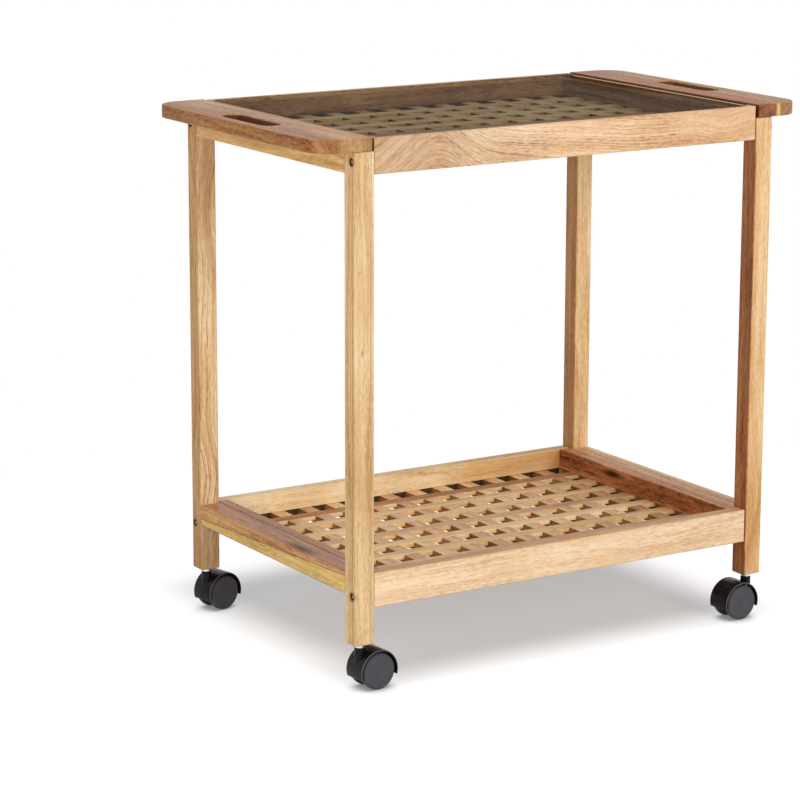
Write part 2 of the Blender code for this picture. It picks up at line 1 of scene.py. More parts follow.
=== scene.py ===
"""Looks of the kitchen cart: woods, smoked glass, casters, light and camera.

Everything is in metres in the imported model's frame. X runs along the cart and Y from its front
(-) to its back (+). A new piece keeps its origin at the world's origin, so that a pattern made
from object coordinates is laid out in the cart's own metres.
"""

import math

import bmesh
import bpy
from mathutils import Matrix, Quaternion, Vector
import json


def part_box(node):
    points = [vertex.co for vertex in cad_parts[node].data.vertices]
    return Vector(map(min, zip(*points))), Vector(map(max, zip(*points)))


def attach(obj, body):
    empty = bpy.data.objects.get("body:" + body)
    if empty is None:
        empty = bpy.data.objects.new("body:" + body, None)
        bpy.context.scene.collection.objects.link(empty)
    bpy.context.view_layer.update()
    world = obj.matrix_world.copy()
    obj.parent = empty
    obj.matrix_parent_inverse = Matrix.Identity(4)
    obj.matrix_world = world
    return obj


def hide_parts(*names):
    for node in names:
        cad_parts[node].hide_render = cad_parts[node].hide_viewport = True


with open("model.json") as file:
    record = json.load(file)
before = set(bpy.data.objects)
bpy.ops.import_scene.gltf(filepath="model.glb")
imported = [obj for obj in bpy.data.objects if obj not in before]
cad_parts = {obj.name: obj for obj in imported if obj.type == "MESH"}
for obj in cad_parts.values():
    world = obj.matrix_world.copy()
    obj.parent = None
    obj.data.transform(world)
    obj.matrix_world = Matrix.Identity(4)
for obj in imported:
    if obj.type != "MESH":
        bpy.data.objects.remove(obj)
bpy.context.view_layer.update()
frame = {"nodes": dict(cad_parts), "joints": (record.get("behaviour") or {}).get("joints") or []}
NODES = frame["nodes"]

SIDES = {"left": -1, "right": 1}
ENDS = ("front", "rear")
TRAYS = ("lower", "upper")
AXES = {"X": 0, "Y": 1, "Z": 2}
SAME_PLACE = 1e-6
SMOOTH_ANGLE = math.radians(35)
NOISE_RANGE = (0.3, 0.7)
WHITE = (1, 1, 1, 1)


# ---------------------------------------------------------------- nodes

class Sheet:
    """The node tree of a material or of the world, with short calls for the nodes in use."""

    def __init__(self, name, is_world=False):
        self.owner = (bpy.data.worlds if is_world else bpy.data.materials).new(name)
        self.owner.use_nodes = True
        self.tree = self.owner.node_tree
        self.tree.nodes.clear()
        self.output = self.add("ShaderNodeOutputWorld" if is_world
                               else "ShaderNodeOutputMaterial")

    def add(self, kind, inputs=None, **settings):
        node = self.tree.nodes.new(kind)
        for key, value in settings.items():
            setattr(node, key, value)
        for key, value in (inputs or {}).items():
            self.feed(node.inputs[key], value)
        return node

    def feed(self, socket, value):
        if isinstance(value, bpy.types.NodeSocket):
            self.tree.links.new(value, socket)
        else:
            socket.default_value = value

    def show(self, surface):
        """Make a shader node the one that is seen."""
        self.feed(self.output.inputs[0], surface.outputs[0])

    def calc(self, operation, a, b=0.0, c=0.0):
        return self.add("ShaderNodeMath", {0: a, 1: b, 2: c}, operation=operation).outputs[0]

    def length(self, *parts):
        """The length of a line from its parts along two or three axes."""
        squares = [self.calc("MULTIPLY", part, part) for part in parts]
        total = squares[0]
        for square in squares[1:]:
            total = self.calc("ADD", total, square)
        return self.calc("SQRT", total)

    def spread(self, value, low, high, to_low=0.0, to_high=1.0, smooth=False):
        """The value's place between low and high, kept inside the new range."""
        node = self.add("ShaderNodeMapRange", {0: value, 1: low, 2: high, 3: to_low, 4: to_high})
        node.interpolation_type = "SMOOTHSTEP" if smooth else "LINEAR"
        return node.outputs[0]

    def mix(self, share, a, b, blend="MIX"):
        node = self.add("ShaderNodeMix", data_type="RGBA", blend_type=blend)
        for socket, value in zip((node.inputs[0], node.inputs[6], node.inputs[7]), (share, a, b)):
            self.feed(socket, value)
        return node.outputs[2]

    def ramp(self, value, stops):
        node = self.add("ShaderNodeValToRGB", {0: value})
        points = node.color_ramp.elements
        while len(points) < len(stops):
            points.new(0.5)
        for point, (place, colour) in zip(points, stops):
            point.position = place
            point.color = (*colour, 1)
        return node.outputs[0]

    def shades(self, cloud, dark, light):
        """A colour that wanders between two with a noise."""
        return self.ramp(cloud, list(zip(NOISE_RANGE, (linear(dark), linear(light)))))

    def vector(self, x, y, z):
        return self.add("ShaderNodeCombineXYZ", {0: x, 1: y, 2: z}).outputs[0]

    def noise(self, vector, detail=2.0, roughness=0.5, scale=1.0):
        return self.add("ShaderNodeTexNoise", {"Vector": vector, "Scale": scale, "Detail": detail,
                                               "Roughness": roughness}).outputs[0]

    def coordinates(self):
        """The place on the object, in its own metres, and the way that its surface faces."""
        source = self.add("ShaderNodeTexCoord").outputs
        return source["Object"], source["Normal"]

    def split(self, vector):
        return self.add("ShaderNodeSeparateXYZ", {0: vector}).outputs

    def bump(self, height, strength, distance):
        return self.add("ShaderNodeBump", {
            "Height": height, "Strength": strength, "Distance": distance}).outputs[0]

    def shader(self, inputs):
        self.show(self.add("ShaderNodeBsdfPrincipled", inputs))

    def matt(self, tone):
        return self.add("ShaderNodeBsdfDiffuse", {"Color": (tone, tone, tone, 1)})

    def glow(self, strength):
        return self.add("ShaderNodeEmission", {"Color": WHITE, "Strength": strength})

    def blend(self, share, first, second):
        """A shader between two others."""
        return self.add("ShaderNodeMixShader", {0: share, 1: first.outputs[0],
                                                2: second.outputs[0]})


def linear(colour):
    """A colour chosen on a screen's 0 to 255 scale, as the linear light that shaders take."""
    shares = [value / 255 for value in colour]
    return tuple(s / 12.92 if s <= 0.04045 else ((s + 0.055) / 1.055) ** 2.4 for s in shares)


def rgba(colour):
    return (*linear(colour), 1.0)


# ---------------------------------------------------------------- wood

# Each pattern's changes in a metre across and along the grain, and its noise's detail and
# roughness
GRAIN = {
    "wave": (9.0, 3.2, 1.0, 0.5),
    "ripple": (45.0, 16.0, 2.0, 0.5),
    "fading": (14.0, 6.0, 1.0, 0.5),
    "streaks": (150.0, 5.0, 3.0, 0.6),
    "flecks": (620.0, 120.0, 2.0, 0.6),
    "hairs": (1000.0, 45.0, 2.0, 0.6),
    "cloud": (26.0, 6.0, 2.0, 0.5),
    "pores": (1000.0, 60.0, 0.0, 0.5),
    "blush": (38.0, 7.0, 2.0, 0.5),
}
# One growth ring's darkness, from its inner to its outer edge
RING_STEPS = ((0.0, 0.5), (0.06, 0.0), (0.45, 0.08), (0.78, 0.35), (0.95, 1.0), (1.0, 0.5))
RING_FADE_RANGE = (0.35, 0.65)
RING_LIFT = 0.3
UNEVEN_PER_RING = 0.41
UNEVEN_RINGS = 2.2
BANDS_PER_RING = 0.8
BANDS_PER_METRE = 3.0
BAND_NOISE = (4.0, 0.62)
WAVE_BEND = 8
RIPPLE_BEND = 1.2
RIPPLE_CALM = 3
HAIR_WEIGHT = 0.6
CLOUD_WEIGHT = 0.9
PORE_WEIGHT = -0.2
PORE_RANGE = (0.62, 0.72)
BLUSH_RANGE = (0.48, 0.66)
FACE_RANGE = (0.5, 0.9)
END_RANGE = (0.6, 0.9)
END_SHADE = 0.75
SPOT_RANGE = (0.2, 1.0)
SPOT_RAGGEDNESS = 0.8
HAIR_ROUGHNESS = 0.16
PORE_ROUGHNESS = 0.10
PORE_DEPTH = -0.8
WOOD_SHINE = 0.15
WOOD_RELIEF = (0.3, 0.0002)
SEED_STEP = 1.37
SEED_SHARES = (1.0, 2.1, 0.7, 1.9)


def wood(name, axis, tones, seed, spacing=0.005, pith=(0.05, 0.09), tilt=(0.0, 0.0),
         wander=0.004, band=1.5, ring=0.3, streak=1.0, fleck=1.2, blush=None, swells=(),
         lean=0.0, second=None, faces=(), lines=(), spots=(), pockets=(), tints=(), gloss=0.5):
    """Wood whose growth bands run round a pith line beside the piece, along the given axis.

    tones are the dark, middle and light colours. pith is the pith's distance in the two
    directions across the grain and tilt its drift along the grain; swells bend the grain round
    a place along it. blush is a colour that shows in patches, second a second set of tones past
    a place across the grain, and faces gives tones to the faces that look along an axis, which
    for the slats' sides and one rail are painted shade. lines are thin lines along the grain,
    which lean with it; the dark one in a seam is painted shade. spots are soft spots of a
    colour, knots among them, and the painted shadow round the bolts. tints are wide soft places
    that keep their grain; one is painted shade on a rail's inner face. The boxes are painted
    shade in grooves, slot walls and the gap beside a board.
    """
    sheet = Sheet(name)
    place, facing = (sheet.split(vector) for vector in sheet.coordinates())
    along = AXES[axis]
    across = [i for i in range(3) if i != along]
    w, plain = place[along], [place[i] for i in across]
    bent = list(plain)
    for which, middle, reach, height in swells:
        step = sheet.calc("DIVIDE", sheet.calc("SUBTRACT", w, middle), reach)
        hump = sheet.calc("EXPONENT", sheet.calc("MULTIPLY", sheet.calc("MULTIPLY", step, step),
                                                 -1.0))
        bent[which] = sheet.calc("MULTIPLY_ADD", hump, -height, bent[which])
    u, v = bent
    shifts = [seed * SEED_STEP * share for share in SEED_SHARES]

    def fibre(kind):
        cross, length, detail, roughness = GRAIN[kind]
        return sheet.noise(sheet.vector(*(sheet.calc("MULTIPLY_ADD", *terms) for terms in (
            (u, cross, shifts[0]), (v, cross, shifts[1]), (w, length, shifts[2])))),
            detail, roughness)

    wave = sheet.calc("SUBTRACT", fibre("wave"), 0.5)
    ripple = sheet.calc("SUBTRACT", fibre("ripple"), 0.5)
    radius = sheet.length(*(sheet.calc("ADD", value, sheet.calc("MULTIPLY_ADD", w, -drift, -start))
                            for value, drift, start in zip((u, v), tilt, pith)))
    radius = sheet.calc("MULTIPLY_ADD", wave, wander * WAVE_BEND, radius)
    radius = sheet.calc("MULTIPLY_ADD", ripple, wander * RIPPLE_BEND, radius)
    turns = sheet.calc("MULTIPLY", radius, 1 / spacing)
    bands = sheet.noise(sheet.vector(
        sheet.calc("MULTIPLY", turns, BANDS_PER_RING),
        sheet.calc("MULTIPLY_ADD", w, BANDS_PER_METRE, shifts[0]), shifts[3]), *BAND_NOISE)
    uneven = sheet.noise(sheet.vector(sheet.calc("MULTIPLY", turns, UNEVEN_PER_RING), shifts[0],
                                      0.0), detail=1.0)
    rings = sheet.ramp(sheet.calc("FRACT", sheet.calc("MULTIPLY_ADD", uneven, UNEVEN_RINGS,
                                                      turns)),
                       [(p, (s, s, s)) for p, s in RING_STEPS])
    rings = sheet.calc("MULTIPLY", rings, sheet.spread(fibre("fading"), *RING_FADE_RANGE))
    hairs = fibre("hairs")
    pores = sheet.spread(fibre("pores"), *PORE_RANGE)

    layers = ((bands, band), (fibre("streaks"), streak), (fibre("flecks"), fleck),
              (hairs, HAIR_WEIGHT), (fibre("cloud"), CLOUD_WEIGHT), (rings, -ring),
              (pores, PORE_WEIGHT))
    tone = 0.5 - (band + streak + fleck + HAIR_WEIGHT + CLOUD_WEIGHT) / 2 + ring * RING_LIFT
    for layer, weight in layers:
        tone = sheet.calc("MULTIPLY_ADD", layer, weight, tone)

    def coloured(shades):
        dark, middle, light = (linear(shade) for shade in shades)
        return sheet.ramp(tone, [(0.0, dark), (0.5, middle), (1.0, light)])

    def beside(side, sway):
        border = sheet.calc("MULTIPLY_ADD", wave, sway, plain[across.index(side)])
        border = sheet.calc("MULTIPLY_ADD", w, lean, border)
        return sheet.calc("MULTIPLY_ADD", ripple, sway / RIPPLE_CALM, border)

    colour = coloured(tones)
    if second:
        side, edge, softness, sway, shades = second
        share = sheet.spread(beside(AXES[side], sway), edge - softness, edge + softness,
                             smooth=True)
        colour = sheet.mix(share, colour, coloured(shades))
    if blush:
        share = sheet.spread(fibre("blush"), *BLUSH_RANGE, 0.0, blush[1])
        colour = sheet.mix(share, colour, rgba(blush[0]))
    for side, shades in faces:
        share = sheet.spread(sheet.calc("ABSOLUTE", facing[AXES[side]]), *FACE_RANGE)
        colour = sheet.mix(share, colour, coloured(shades))
    for side, middle, width, sway, shade, amount in lines:
        reach = sheet.calc("ABSOLUTE", sheet.calc("SUBTRACT", beside(AXES[side], sway), middle))
        share = sheet.spread(reach, 0.0, width, amount, 0.0, smooth=True)
        colour = sheet.mix(share, colour, rgba(shade))

    def nearness(centre, size, amount):
        reach = sheet.length(*(sheet.calc("DIVIDE", sheet.calc("SUBTRACT", value, middle), extent)
                               for value, middle, extent in zip(place, centre, size)))
        reach = sheet.calc("MULTIPLY_ADD", ripple, SPOT_RAGGEDNESS, reach)
        return sheet.spread(reach, *SPOT_RANGE, amount, 0.0, smooth=True)

    for centre, size, shade in tints:
        colour = sheet.mix(nearness(centre, size, 1.0), colour, (*shade, 1.0), "MULTIPLY")
    # Soft spots of a colour: knots and marks, and the painted shadow round the bolts
    for centre, size, shade, amount in spots:
        colour = sheet.mix(nearness(centre, size, amount), colour, rgba(shade))
    # Boxes of painted shade
    for low, high, shade, amount in pockets:
        share = amount
        for i in range(3):
            share = sheet.calc("MULTIPLY", sheet.calc("COMPARE", place[i], (low[i] + high[i]) / 2,
                                                      (high[i] - low[i]) / 2), share)
        colour = sheet.mix(share, colour, rgba(shade))
    end_face = sheet.spread(sheet.calc("ABSOLUTE", facing[along]), *END_RANGE, 1.0, END_SHADE)
    colour = sheet.mix(1.0, colour, sheet.vector(end_face, end_face, end_face), "MULTIPLY")

    rough = sheet.calc("MULTIPLY_ADD", hairs, HAIR_ROUGHNESS, gloss - HAIR_ROUGHNESS / 2)
    rough = sheet.calc("MULTIPLY_ADD", pores, PORE_ROUGHNESS, rough)
    height = sheet.calc("MULTIPLY_ADD", pores, PORE_DEPTH, hairs)
    sheet.shader({"Base Color": colour, "Roughness": rough, "Specular IOR Level": WOOD_SHINE,
                  "Normal": sheet.bump(height, *WOOD_RELIEF)})
    return sheet.owner


# ---------------------------------------------------------------- other finishes

WHEEL_TONES = ((55, 53, 59), (69, 67, 73))
WHEEL_ROUGHNESS = (0.40, 0.51)
WHEEL_SHINE = 0.4
WHEEL_GRAIN = 1400
WHEEL_MOTTLE = WHEEL_GRAIN / 18
WHEEL_GRAIN_SHARE = 0.6
WHEEL_RELIEF = (0.25, 0.0001)
HOOD_TONES = ((17, 13, 16), (26, 20, 23))
# A painted highlight: the colour of a thin light line on the hood's rims, where a lit edge would
# shine
HOOD_HIGHLIGHT_TONE = (130, 127, 130)
HOOD_HIGHLIGHT_SHARE = 0.8
# The painted highlight line on the rims: where it starts and is full, in from the hood's side and
# its outside
HOOD_HIGHLIGHT_SIDE = (0.0014, 0.0004)
HOOD_HIGHLIGHT_TOP = (0.0012, 0.0006)
HOOD_ROUGHNESS = (0.2, 0.3)
HOOD_SHINE = 0.14
HOOD_CLOUD = 50
HOOD_GRAIN = 900
HOOD_RELIEF = (0.06, 0.0001)
STEEL_MARKS = 60
STEEL_MARK_STRETCH = 40.0
STEEL_CLOUD = 220
STEEL_DARK_SHARE = 0.9
STEEL_ROUGHNESS_STEP = 0.1
GLASS_TINT = ((0.770, 0.765, 0.735), (0.790, 0.780, 0.745))
GLASS_CLOUD = 9
GLASS_ROUGHNESS = 0.03
GLASS_GLOSS = 0.02
# A bolt end's colours: the bright middle is the head's pale metal brightened into a painted
# highlight; the dark rim is painted shade of the recess round the head
BOLT_HIGHLIGHT_TONES = ((246, 234, 204), (255, 250, 232))
BOLT_RIM_PAINTED_SHADE = (42, 27, 14)
BOLT_SHADE_RADII = (0.0017, 0.0022)
BOLT_METAL = 0.1
BOLT_SHINE = 0.15
BOLT_CLOUD = 500
BOLT_ROUGHNESS = (0.32, 0.75)


def wheel_plastic():
    """Dull grey moulded plastic with a fine grain."""
    sheet = Sheet("wheel_plastic")
    place, _ = sheet.coordinates()
    fine = sheet.noise(place, scale=WHEEL_GRAIN)
    broad = sheet.noise(place, scale=WHEEL_MOTTLE, detail=1.0)
    mottle = sheet.calc("MULTIPLY_ADD", sheet.calc("SUBTRACT", fine, broad), WHEEL_GRAIN_SHARE,
                        broad)
    sheet.shader({"Base Color": sheet.shades(mottle, *WHEEL_TONES),
                  "Specular IOR Level": WHEEL_SHINE,
                  "Roughness": sheet.spread(broad, *NOISE_RANGE, *WHEEL_ROUGHNESS),
                  "Normal": sheet.bump(fine, *WHEEL_RELIEF)})
    return sheet.owner


def hood_plastic(name, axle, along):
    """Black plastic with a thin painted highlight on its arched rims; along points down the axle.
    """
    sheet = Sheet(name)
    place, _ = sheet.coordinates()
    x, y, z = (sheet.calc("SUBTRACT", *pair) for pair in zip(sheet.split(place), axle))
    side = sheet.calc("MULTIPLY_ADD", x, along.x, sheet.calc("MULTIPLY", y, along.y))
    ahead = sheet.calc("MULTIPLY_ADD", x, along.y, sheet.calc("MULTIPLY", y, -along.x))
    side_highlight = sheet.spread(sheet.calc("ABSOLUTE", side),
                              *(HOOD_HALF_WIDTH - depth for depth in HOOD_HIGHLIGHT_SIDE))
    top_highlight = sheet.spread(sheet.length(ahead, z),
                             *(HOOD_RADIUS - depth for depth in HOOD_HIGHLIGHT_TOP))
    # The rims' painted highlight
    painted_rim = sheet.calc("MULTIPLY", side_highlight, top_highlight)
    cloud = sheet.noise(place, scale=HOOD_CLOUD)
    colour = sheet.mix(sheet.calc("MULTIPLY", painted_rim, HOOD_HIGHLIGHT_SHARE),
                       sheet.shades(cloud, *HOOD_TONES), rgba(HOOD_HIGHLIGHT_TONE))
    sheet.shader({"Base Color": colour, "Specular IOR Level": HOOD_SHINE,
                  "Roughness": sheet.spread(cloud, *NOISE_RANGE, *HOOD_ROUGHNESS),
                  "Normal": sheet.bump(sheet.noise(place, scale=HOOD_GRAIN), *HOOD_RELIEF)})
    return sheet.owner


def metal(name, tone, rough):
    """Bright plated steel with faint turning marks round the upright axis."""
    sheet = Sheet(name)
    place, _ = sheet.coordinates()
    x, y, z = sheet.split(place)
    marks = sheet.noise(sheet.vector(x, y, sheet.calc("MULTIPLY", z, STEEL_MARK_STRETCH)),
                        scale=STEEL_MARKS)
    cloud = sheet.noise(place, scale=STEEL_CLOUD)
    colour = sheet.shades(cloud, [value * STEEL_DARK_SHARE for value in tone], tone)
    sheet.shader({"Base Color": colour, "Metallic": 1.0,
                  "Roughness": sheet.spread(marks, *NOISE_RANGE, rough,
                                            rough + STEEL_ROUGHNESS_STEP)})
    return sheet.owner


def smoked_glass():
    """Clear smoked glass: a tint that lets light through, and a faint surface gloss."""
    sheet = Sheet("smoked_glass_finish")
    place, _ = sheet.coordinates()
    cloud = sheet.noise(place, scale=GLASS_CLOUD, detail=1.0)
    tint = sheet.ramp(cloud, list(zip(NOISE_RANGE, GLASS_TINT)))
    clear = sheet.add("ShaderNodeBsdfTransparent", {0: tint})
    shine = sheet.add("ShaderNodeBsdfGlossy", {"Color": WHITE, "Roughness": GLASS_ROUGHNESS})
    sheet.show(sheet.blend(GLASS_GLOSS, clear, shine))
    return sheet.owner


def bolt_finish(name, middle):
    """A bolt end with a painted shade rim and a painted highlight middle, round its axis along X.
    """
    sheet = Sheet(name)
    place, _ = sheet.coordinates()
    _, y, z = sheet.split(place)
    painted_rim = sheet.spread(sheet.length(sheet.calc("SUBTRACT", y, middle.y),
                                    sheet.calc("SUBTRACT", z, middle.z)), *BOLT_SHADE_RADII, smooth=True)
    # The head's pale metal, brightened into a painted highlight
    bright = sheet.shades(sheet.noise(place, scale=BOLT_CLOUD), *BOLT_HIGHLIGHT_TONES)
    sheet.shader({"Base Color": sheet.mix(painted_rim, bright, rgba(BOLT_RIM_PAINTED_SHADE)),
                  "Metallic": sheet.calc("MULTIPLY_ADD", painted_rim, -BOLT_METAL, BOLT_METAL),
                  "Specular IOR Level": BOLT_SHINE,
                  "Roughness": sheet.spread(painted_rim, 0.0, 1.0, *BOLT_ROUGHNESS)})
    return sheet.owner


# ---------------------------------------------------------------- shapes

def dress_cad(node, finish):
    """Give a CAD node its finish."""
    mesh = NODES[node].data
    mesh.materials.clear()
    mesh.materials.append(finish)


def new_piece(name, shape, body, node_names, finish):
    """Turn a bmesh into a piece that rides on a body and stands for CAD nodes."""
    mesh = bpy.data.meshes.new(name)
    bmesh.ops.recalc_face_normals(shape, faces=shape.faces)
    shape.to_mesh(mesh)
    shape.free()
    mesh.shade_smooth()
    mesh.set_sharp_from_angle(angle=SMOOTH_ANGLE)
    mesh.materials.append(finish)
    piece = bpy.data.objects.new(name, mesh)
    bpy.context.scene.collection.objects.link(piece)
    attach(piece, body)
    if node_names:
        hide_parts(*node_names)


def extruded(points, height):
    """A bmesh solid from an outline in XY, between z = 0 and the height."""
    shape = bmesh.new()
    face = shape.faces.new([shape.verts.new((x, y, 0)) for x, y in points])
    top = bmesh.ops.extrude_face_region(shape, geom=[face])["geom"]
    moved = [v for v in top if isinstance(v, bmesh.types.BMVert)]
    bmesh.ops.translate(shape, verts=moved, vec=(0, 0, height))
    return shape


def rounded(shape, edges, radius, steps=2):
    """Round the given edges of a shape."""
    bmesh.ops.bevel(shape, geom=edges, offset=radius, segments=steps, profile=0.5,
                    affect="EDGES", clamp_overlap=True)
    return shape


def block(low, high, radius, steps=2):
    """A box between two corners with rounded edges."""
    shape = bmesh.new()
    bmesh.ops.create_cube(shape, size=1)
    size = Vector(high) - Vector(low)
    middle = (Vector(high) + Vector(low)) / 2
    bmesh.ops.transform(shape, verts=shape.verts,
                        matrix=Matrix.Translation(middle) @ Matrix.Diagonal((*size, 1)))
    return rounded(shape, shape.edges[:], radius, steps)


def turned(profile, steps):
    """A solid turned round Z from (radius, height) points that start and end on the axis."""
    shape = bmesh.new()
    rings = []
    for radius, height in profile:
        if radius < SAME_PLACE:
            rings.append([shape.verts.new((0, 0, height))])
        else:
            rings.append([shape.verts.new((radius * math.cos(2 * math.pi * i / steps),
                                           radius * math.sin(2 * math.pi * i / steps), height))
                          for i in range(steps)])
    for lower, upper in zip(rings, rings[1:]):
        for i in range(steps):
            j = (i + 1) % steps
            corners = [lower[i % len(lower)], lower[j % len(lower)],
                       upper[j % len(upper)], upper[i % len(upper)]]
            corners = list(dict.fromkeys(corners))
            if len(corners) > 2:
                shape.faces.new(corners)
    return shape


def arc(centre, radius, start, end, steps):
    """Points of an arc in degrees, both ends included."""
    angles = [math.radians(start + (end - start) * i / steps) for i in range(steps + 1)]
    return [(centre[0] + radius * math.cos(a), centre[1] + radius * math.sin(a)) for a in angles]


# ---------------------------------------------------------------- handle boards

BOARD_CORNER = 0.032
BOARD_EASE = 0.0016
BOARD_EASE_STEPS = 3
SLOT_LENGTH = 0.108
SLOT_WIDTH = 0.025
SLOT_MARGIN = 0.013
CORNER_STEPS = 28
SLOT_STEPS = 24


def plate(outlines, low, high, ease):
    """A bmesh plate with holes and rounded edges, from a filled curve."""
    curve = bpy.data.curves.new("plate", "CURVE")
    curve.dimensions = "2D"
    curve.fill_mode = "BOTH"
    curve.extrude = (high - low) / 2 - ease
    curve.bevel_depth = ease
    curve.bevel_resolution = BOARD_EASE_STEPS
    curve.offset = -ease
    for points in outlines:
        spline = curve.splines.new("POLY")
        spline.points.add(len(points) - 1)
        for point, (x, y) in zip(spline.points, points):
            point.co = (x, y, 0, 1)
        spline.use_cyclic_u = True
    holder = bpy.data.objects.new("plate", curve)
    bpy.context.scene.collection.objects.link(holder)
    graph = bpy.context.evaluated_depsgraph_get()
    mesh = bpy.data.meshes.new_from_object(holder.evaluated_get(graph))
    bpy.data.objects.remove(holder)
    bpy.data.curves.remove(curve)
    shape = bmesh.new()
    shape.from_mesh(mesh)
    bpy.data.meshes.remove(mesh)
    bmesh.ops.remove_doubles(shape, verts=shape.verts, dist=SAME_PLACE)
    bmesh.ops.translate(shape, verts=shape.verts, vec=(0, 0, (low + high) / 2))
    return shape


def add_handle_boards(finishes):
    """The two boards, each with two round corners and a hand slot."""
    for side_name, side in SIDES.items():
        node = side_name + "_handle_board"
        low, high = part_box(node)
        outer = max(abs(low.x), abs(high.x))
        inner = min(abs(low.x), abs(high.x))
        half = high.y
        edge = outer - BOARD_CORNER
        outline = [(inner, -half)]
        outline += arc((edge, -half + BOARD_CORNER), BOARD_CORNER, -90, 0, CORNER_STEPS)
        outline += arc((edge, half - BOARD_CORNER), BOARD_CORNER, 0, 90, CORNER_STEPS)
        outline.append((inner, half))
        middle = outer - SLOT_MARGIN - SLOT_WIDTH / 2
        reach = (SLOT_LENGTH - SLOT_WIDTH) / 2
        slot = arc((middle, reach), SLOT_WIDTH / 2, 0, 180, SLOT_STEPS)
        slot += arc((middle, -reach), SLOT_WIDTH / 2, 180, 360, SLOT_STEPS)
        mirrored = [[(side * x, y) for x, y in points] for points in (outline, slot)]
        shape = plate(mirrored, low.z, high.z, BOARD_EASE)
        new_piece(node + "_shaped", shape, "cart", [node], finishes[node])


# ---------------------------------------------------------------- slats

CROSS_SLATS = 12
LONG_SLATS = 8
SLAT_WIDTH = 0.0185
CROSS_DEPTH = 0.009
LONG_DEPTH = 0.0055
SLAT_EASE = 0.0007
SLAT_GAP = 0.00012
GROOVE_TIP = 0.0046


def slat_places(half, count):
    """Even places for the slats, with the same opening beside the rails as between slats."""
    inner = half - GROOVE_TIP
    opening = (2 * inner - count * SLAT_WIDTH) / (count + 1)
    return [-inner + opening + SLAT_WIDTH / 2 + i * (opening + SLAT_WIDTH) for i in range(count)]


def cross_slat(x, ends, top, notches):
    """A slat along Y with a notch at each long slat, standing on its side as an outline."""
    foot = top - CROSS_DEPTH
    points = [(ends[0], foot), (ends[1], foot), (ends[1], top)]
    floor = top - LONG_DEPTH - SLAT_GAP
    reach = SLAT_WIDTH / 2 + SLAT_GAP
    for y in reversed(notches):
        points += [(y + reach, top), (y + reach, floor), (y - reach, floor), (y - reach, top)]
    points.append((ends[0], top))
    shape = extruded(points, SLAT_WIDTH)
    turn = Matrix(((0, 0, 1, x - SLAT_WIDTH / 2), (1, 0, 0, 0), (0, 1, 0, 0), (0, 0, 0, 1)))
    bmesh.ops.transform(shape, verts=shape.verts, matrix=turn)
    top_edges = [edge for edge in shape.edges
                 if all(abs(vert.co.z - top) < SAME_PLACE for vert in edge.verts)]
    return rounded(shape, top_edges, SLAT_EASE)


def add_slats(finishes):
    """Both trays' slats; each tray's first one stands for the CAD's lattice."""
    for tray in TRAYS:
        node = tray + "_lattice"
        low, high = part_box(node)
        rows = slat_places(high.y, LONG_SLATS)
        for i, x in enumerate(slat_places(high.x, CROSS_SLATS)):
            shape = cross_slat(x, (low.y, high.y), high.z, rows)
            new_piece(f"{tray}_cross_slat_{i + 1}", shape, "cart", [] if i else [node],
                      finishes[tray, "cross", i])
        for i, y in enumerate(rows):
            shape = block((low.x, y - SLAT_WIDTH / 2, high.z - LONG_DEPTH),
                          (high.x, y + SLAT_WIDTH / 2, high.z), SLAT_EASE)
            new_piece(f"{tray}_long_slat_{i + 1}", shape, "cart", [], finishes[tray, "long", i])


# ---------------------------------------------------------------- glass

GLASS_EDGE = 0.0008
GLASS_EDGE_STEPS = 3


def add_glass():
    """The glass panel with polished edges."""
    low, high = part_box("glass_panel")
    new_piece("glass_panel_ground", block(low, high, GLASS_EDGE, GLASS_EDGE_STEPS), "cart",
              ["glass_panel"], smoked_glass())


# ---------------------------------------------------------------- casters and fasteners

HOOD_RADIUS = 0.0250
HOOD_WALL = 0.0023
HOOD_HALF_WIDTH = 0.016
HOOD_RIM = 0.0012
HOOD_SHOULDER = 0.0022
HOOD_WEB = (0.0001, 0.003)
# Degrees from and to, and steps
HOOD_SHOULDER_ARC = (0, 75, 6)
HOOD_SWEEP = (-15, 197, 72)
BOSS_RADIUS = 0.006
BOSS_FOOT = 0.015
BOSS_TOP = 0.0490
BOSS_EASE = 0.0006
BOSS_STEPS = 40
HUB_RADIUS = 0.0048
HUB_LENGTH = 0.0138
HUB_STEPS = 32
WHEEL_FACE = 0.015
WHEEL_BACK = 0.0072
WHEEL_STEPS = 64
WHEEL_SHOULDER = 0.0020
WHEEL_SHOULDER_STEPS = 5
WHEEL_SHOULDER_DROP = 0.0024
# The wheel's profile: the button by radius and depth under the face, the lip by depth inside
# the tread and under the face, the back's edge by depth inside the tread and height on the back
WHEEL_BUTTON = ((0, 0.00035), (0.0021, 0.00035), (0.0024, 0.00005), (0.0028, 0.00005),
                (0.0032, 0.0003))
WHEEL_LIP = ((0.0031, 0.0003), (0.0026, 0.00005), (0.0022, 0.00015))
WHEEL_BACK_EDGE = ((0, 0.0022), (0.0010, 0.0012))
WHEEL_NECK = 0.0070
STEM_STEEL = ((232, 233, 236), 0.12)
SCREW_STEEL = ((190, 188, 184), 0.28)


def sweep(section, centre, start, end, steps):
    """A closed section of (radius, across) points swung about an axle along Y."""
    shape = bmesh.new()
    loops = []
    for i in range(steps + 1):
        angle = math.radians(start + (end - start) * i / steps)
        loops.append([shape.verts.new((centre[0] + r * math.cos(angle), y,
                                       centre[1] + r * math.sin(angle))) for r, y in section])
    for a, b in zip(loops, loops[1:]):
        for k in range(len(section)):
            m = (k + 1) % len(section)
            shape.faces.new([a[k], a[m], b[m], b[k]])
    shape.faces.new(loops[0])
    shape.faces.new(loops[-1])
    return shape


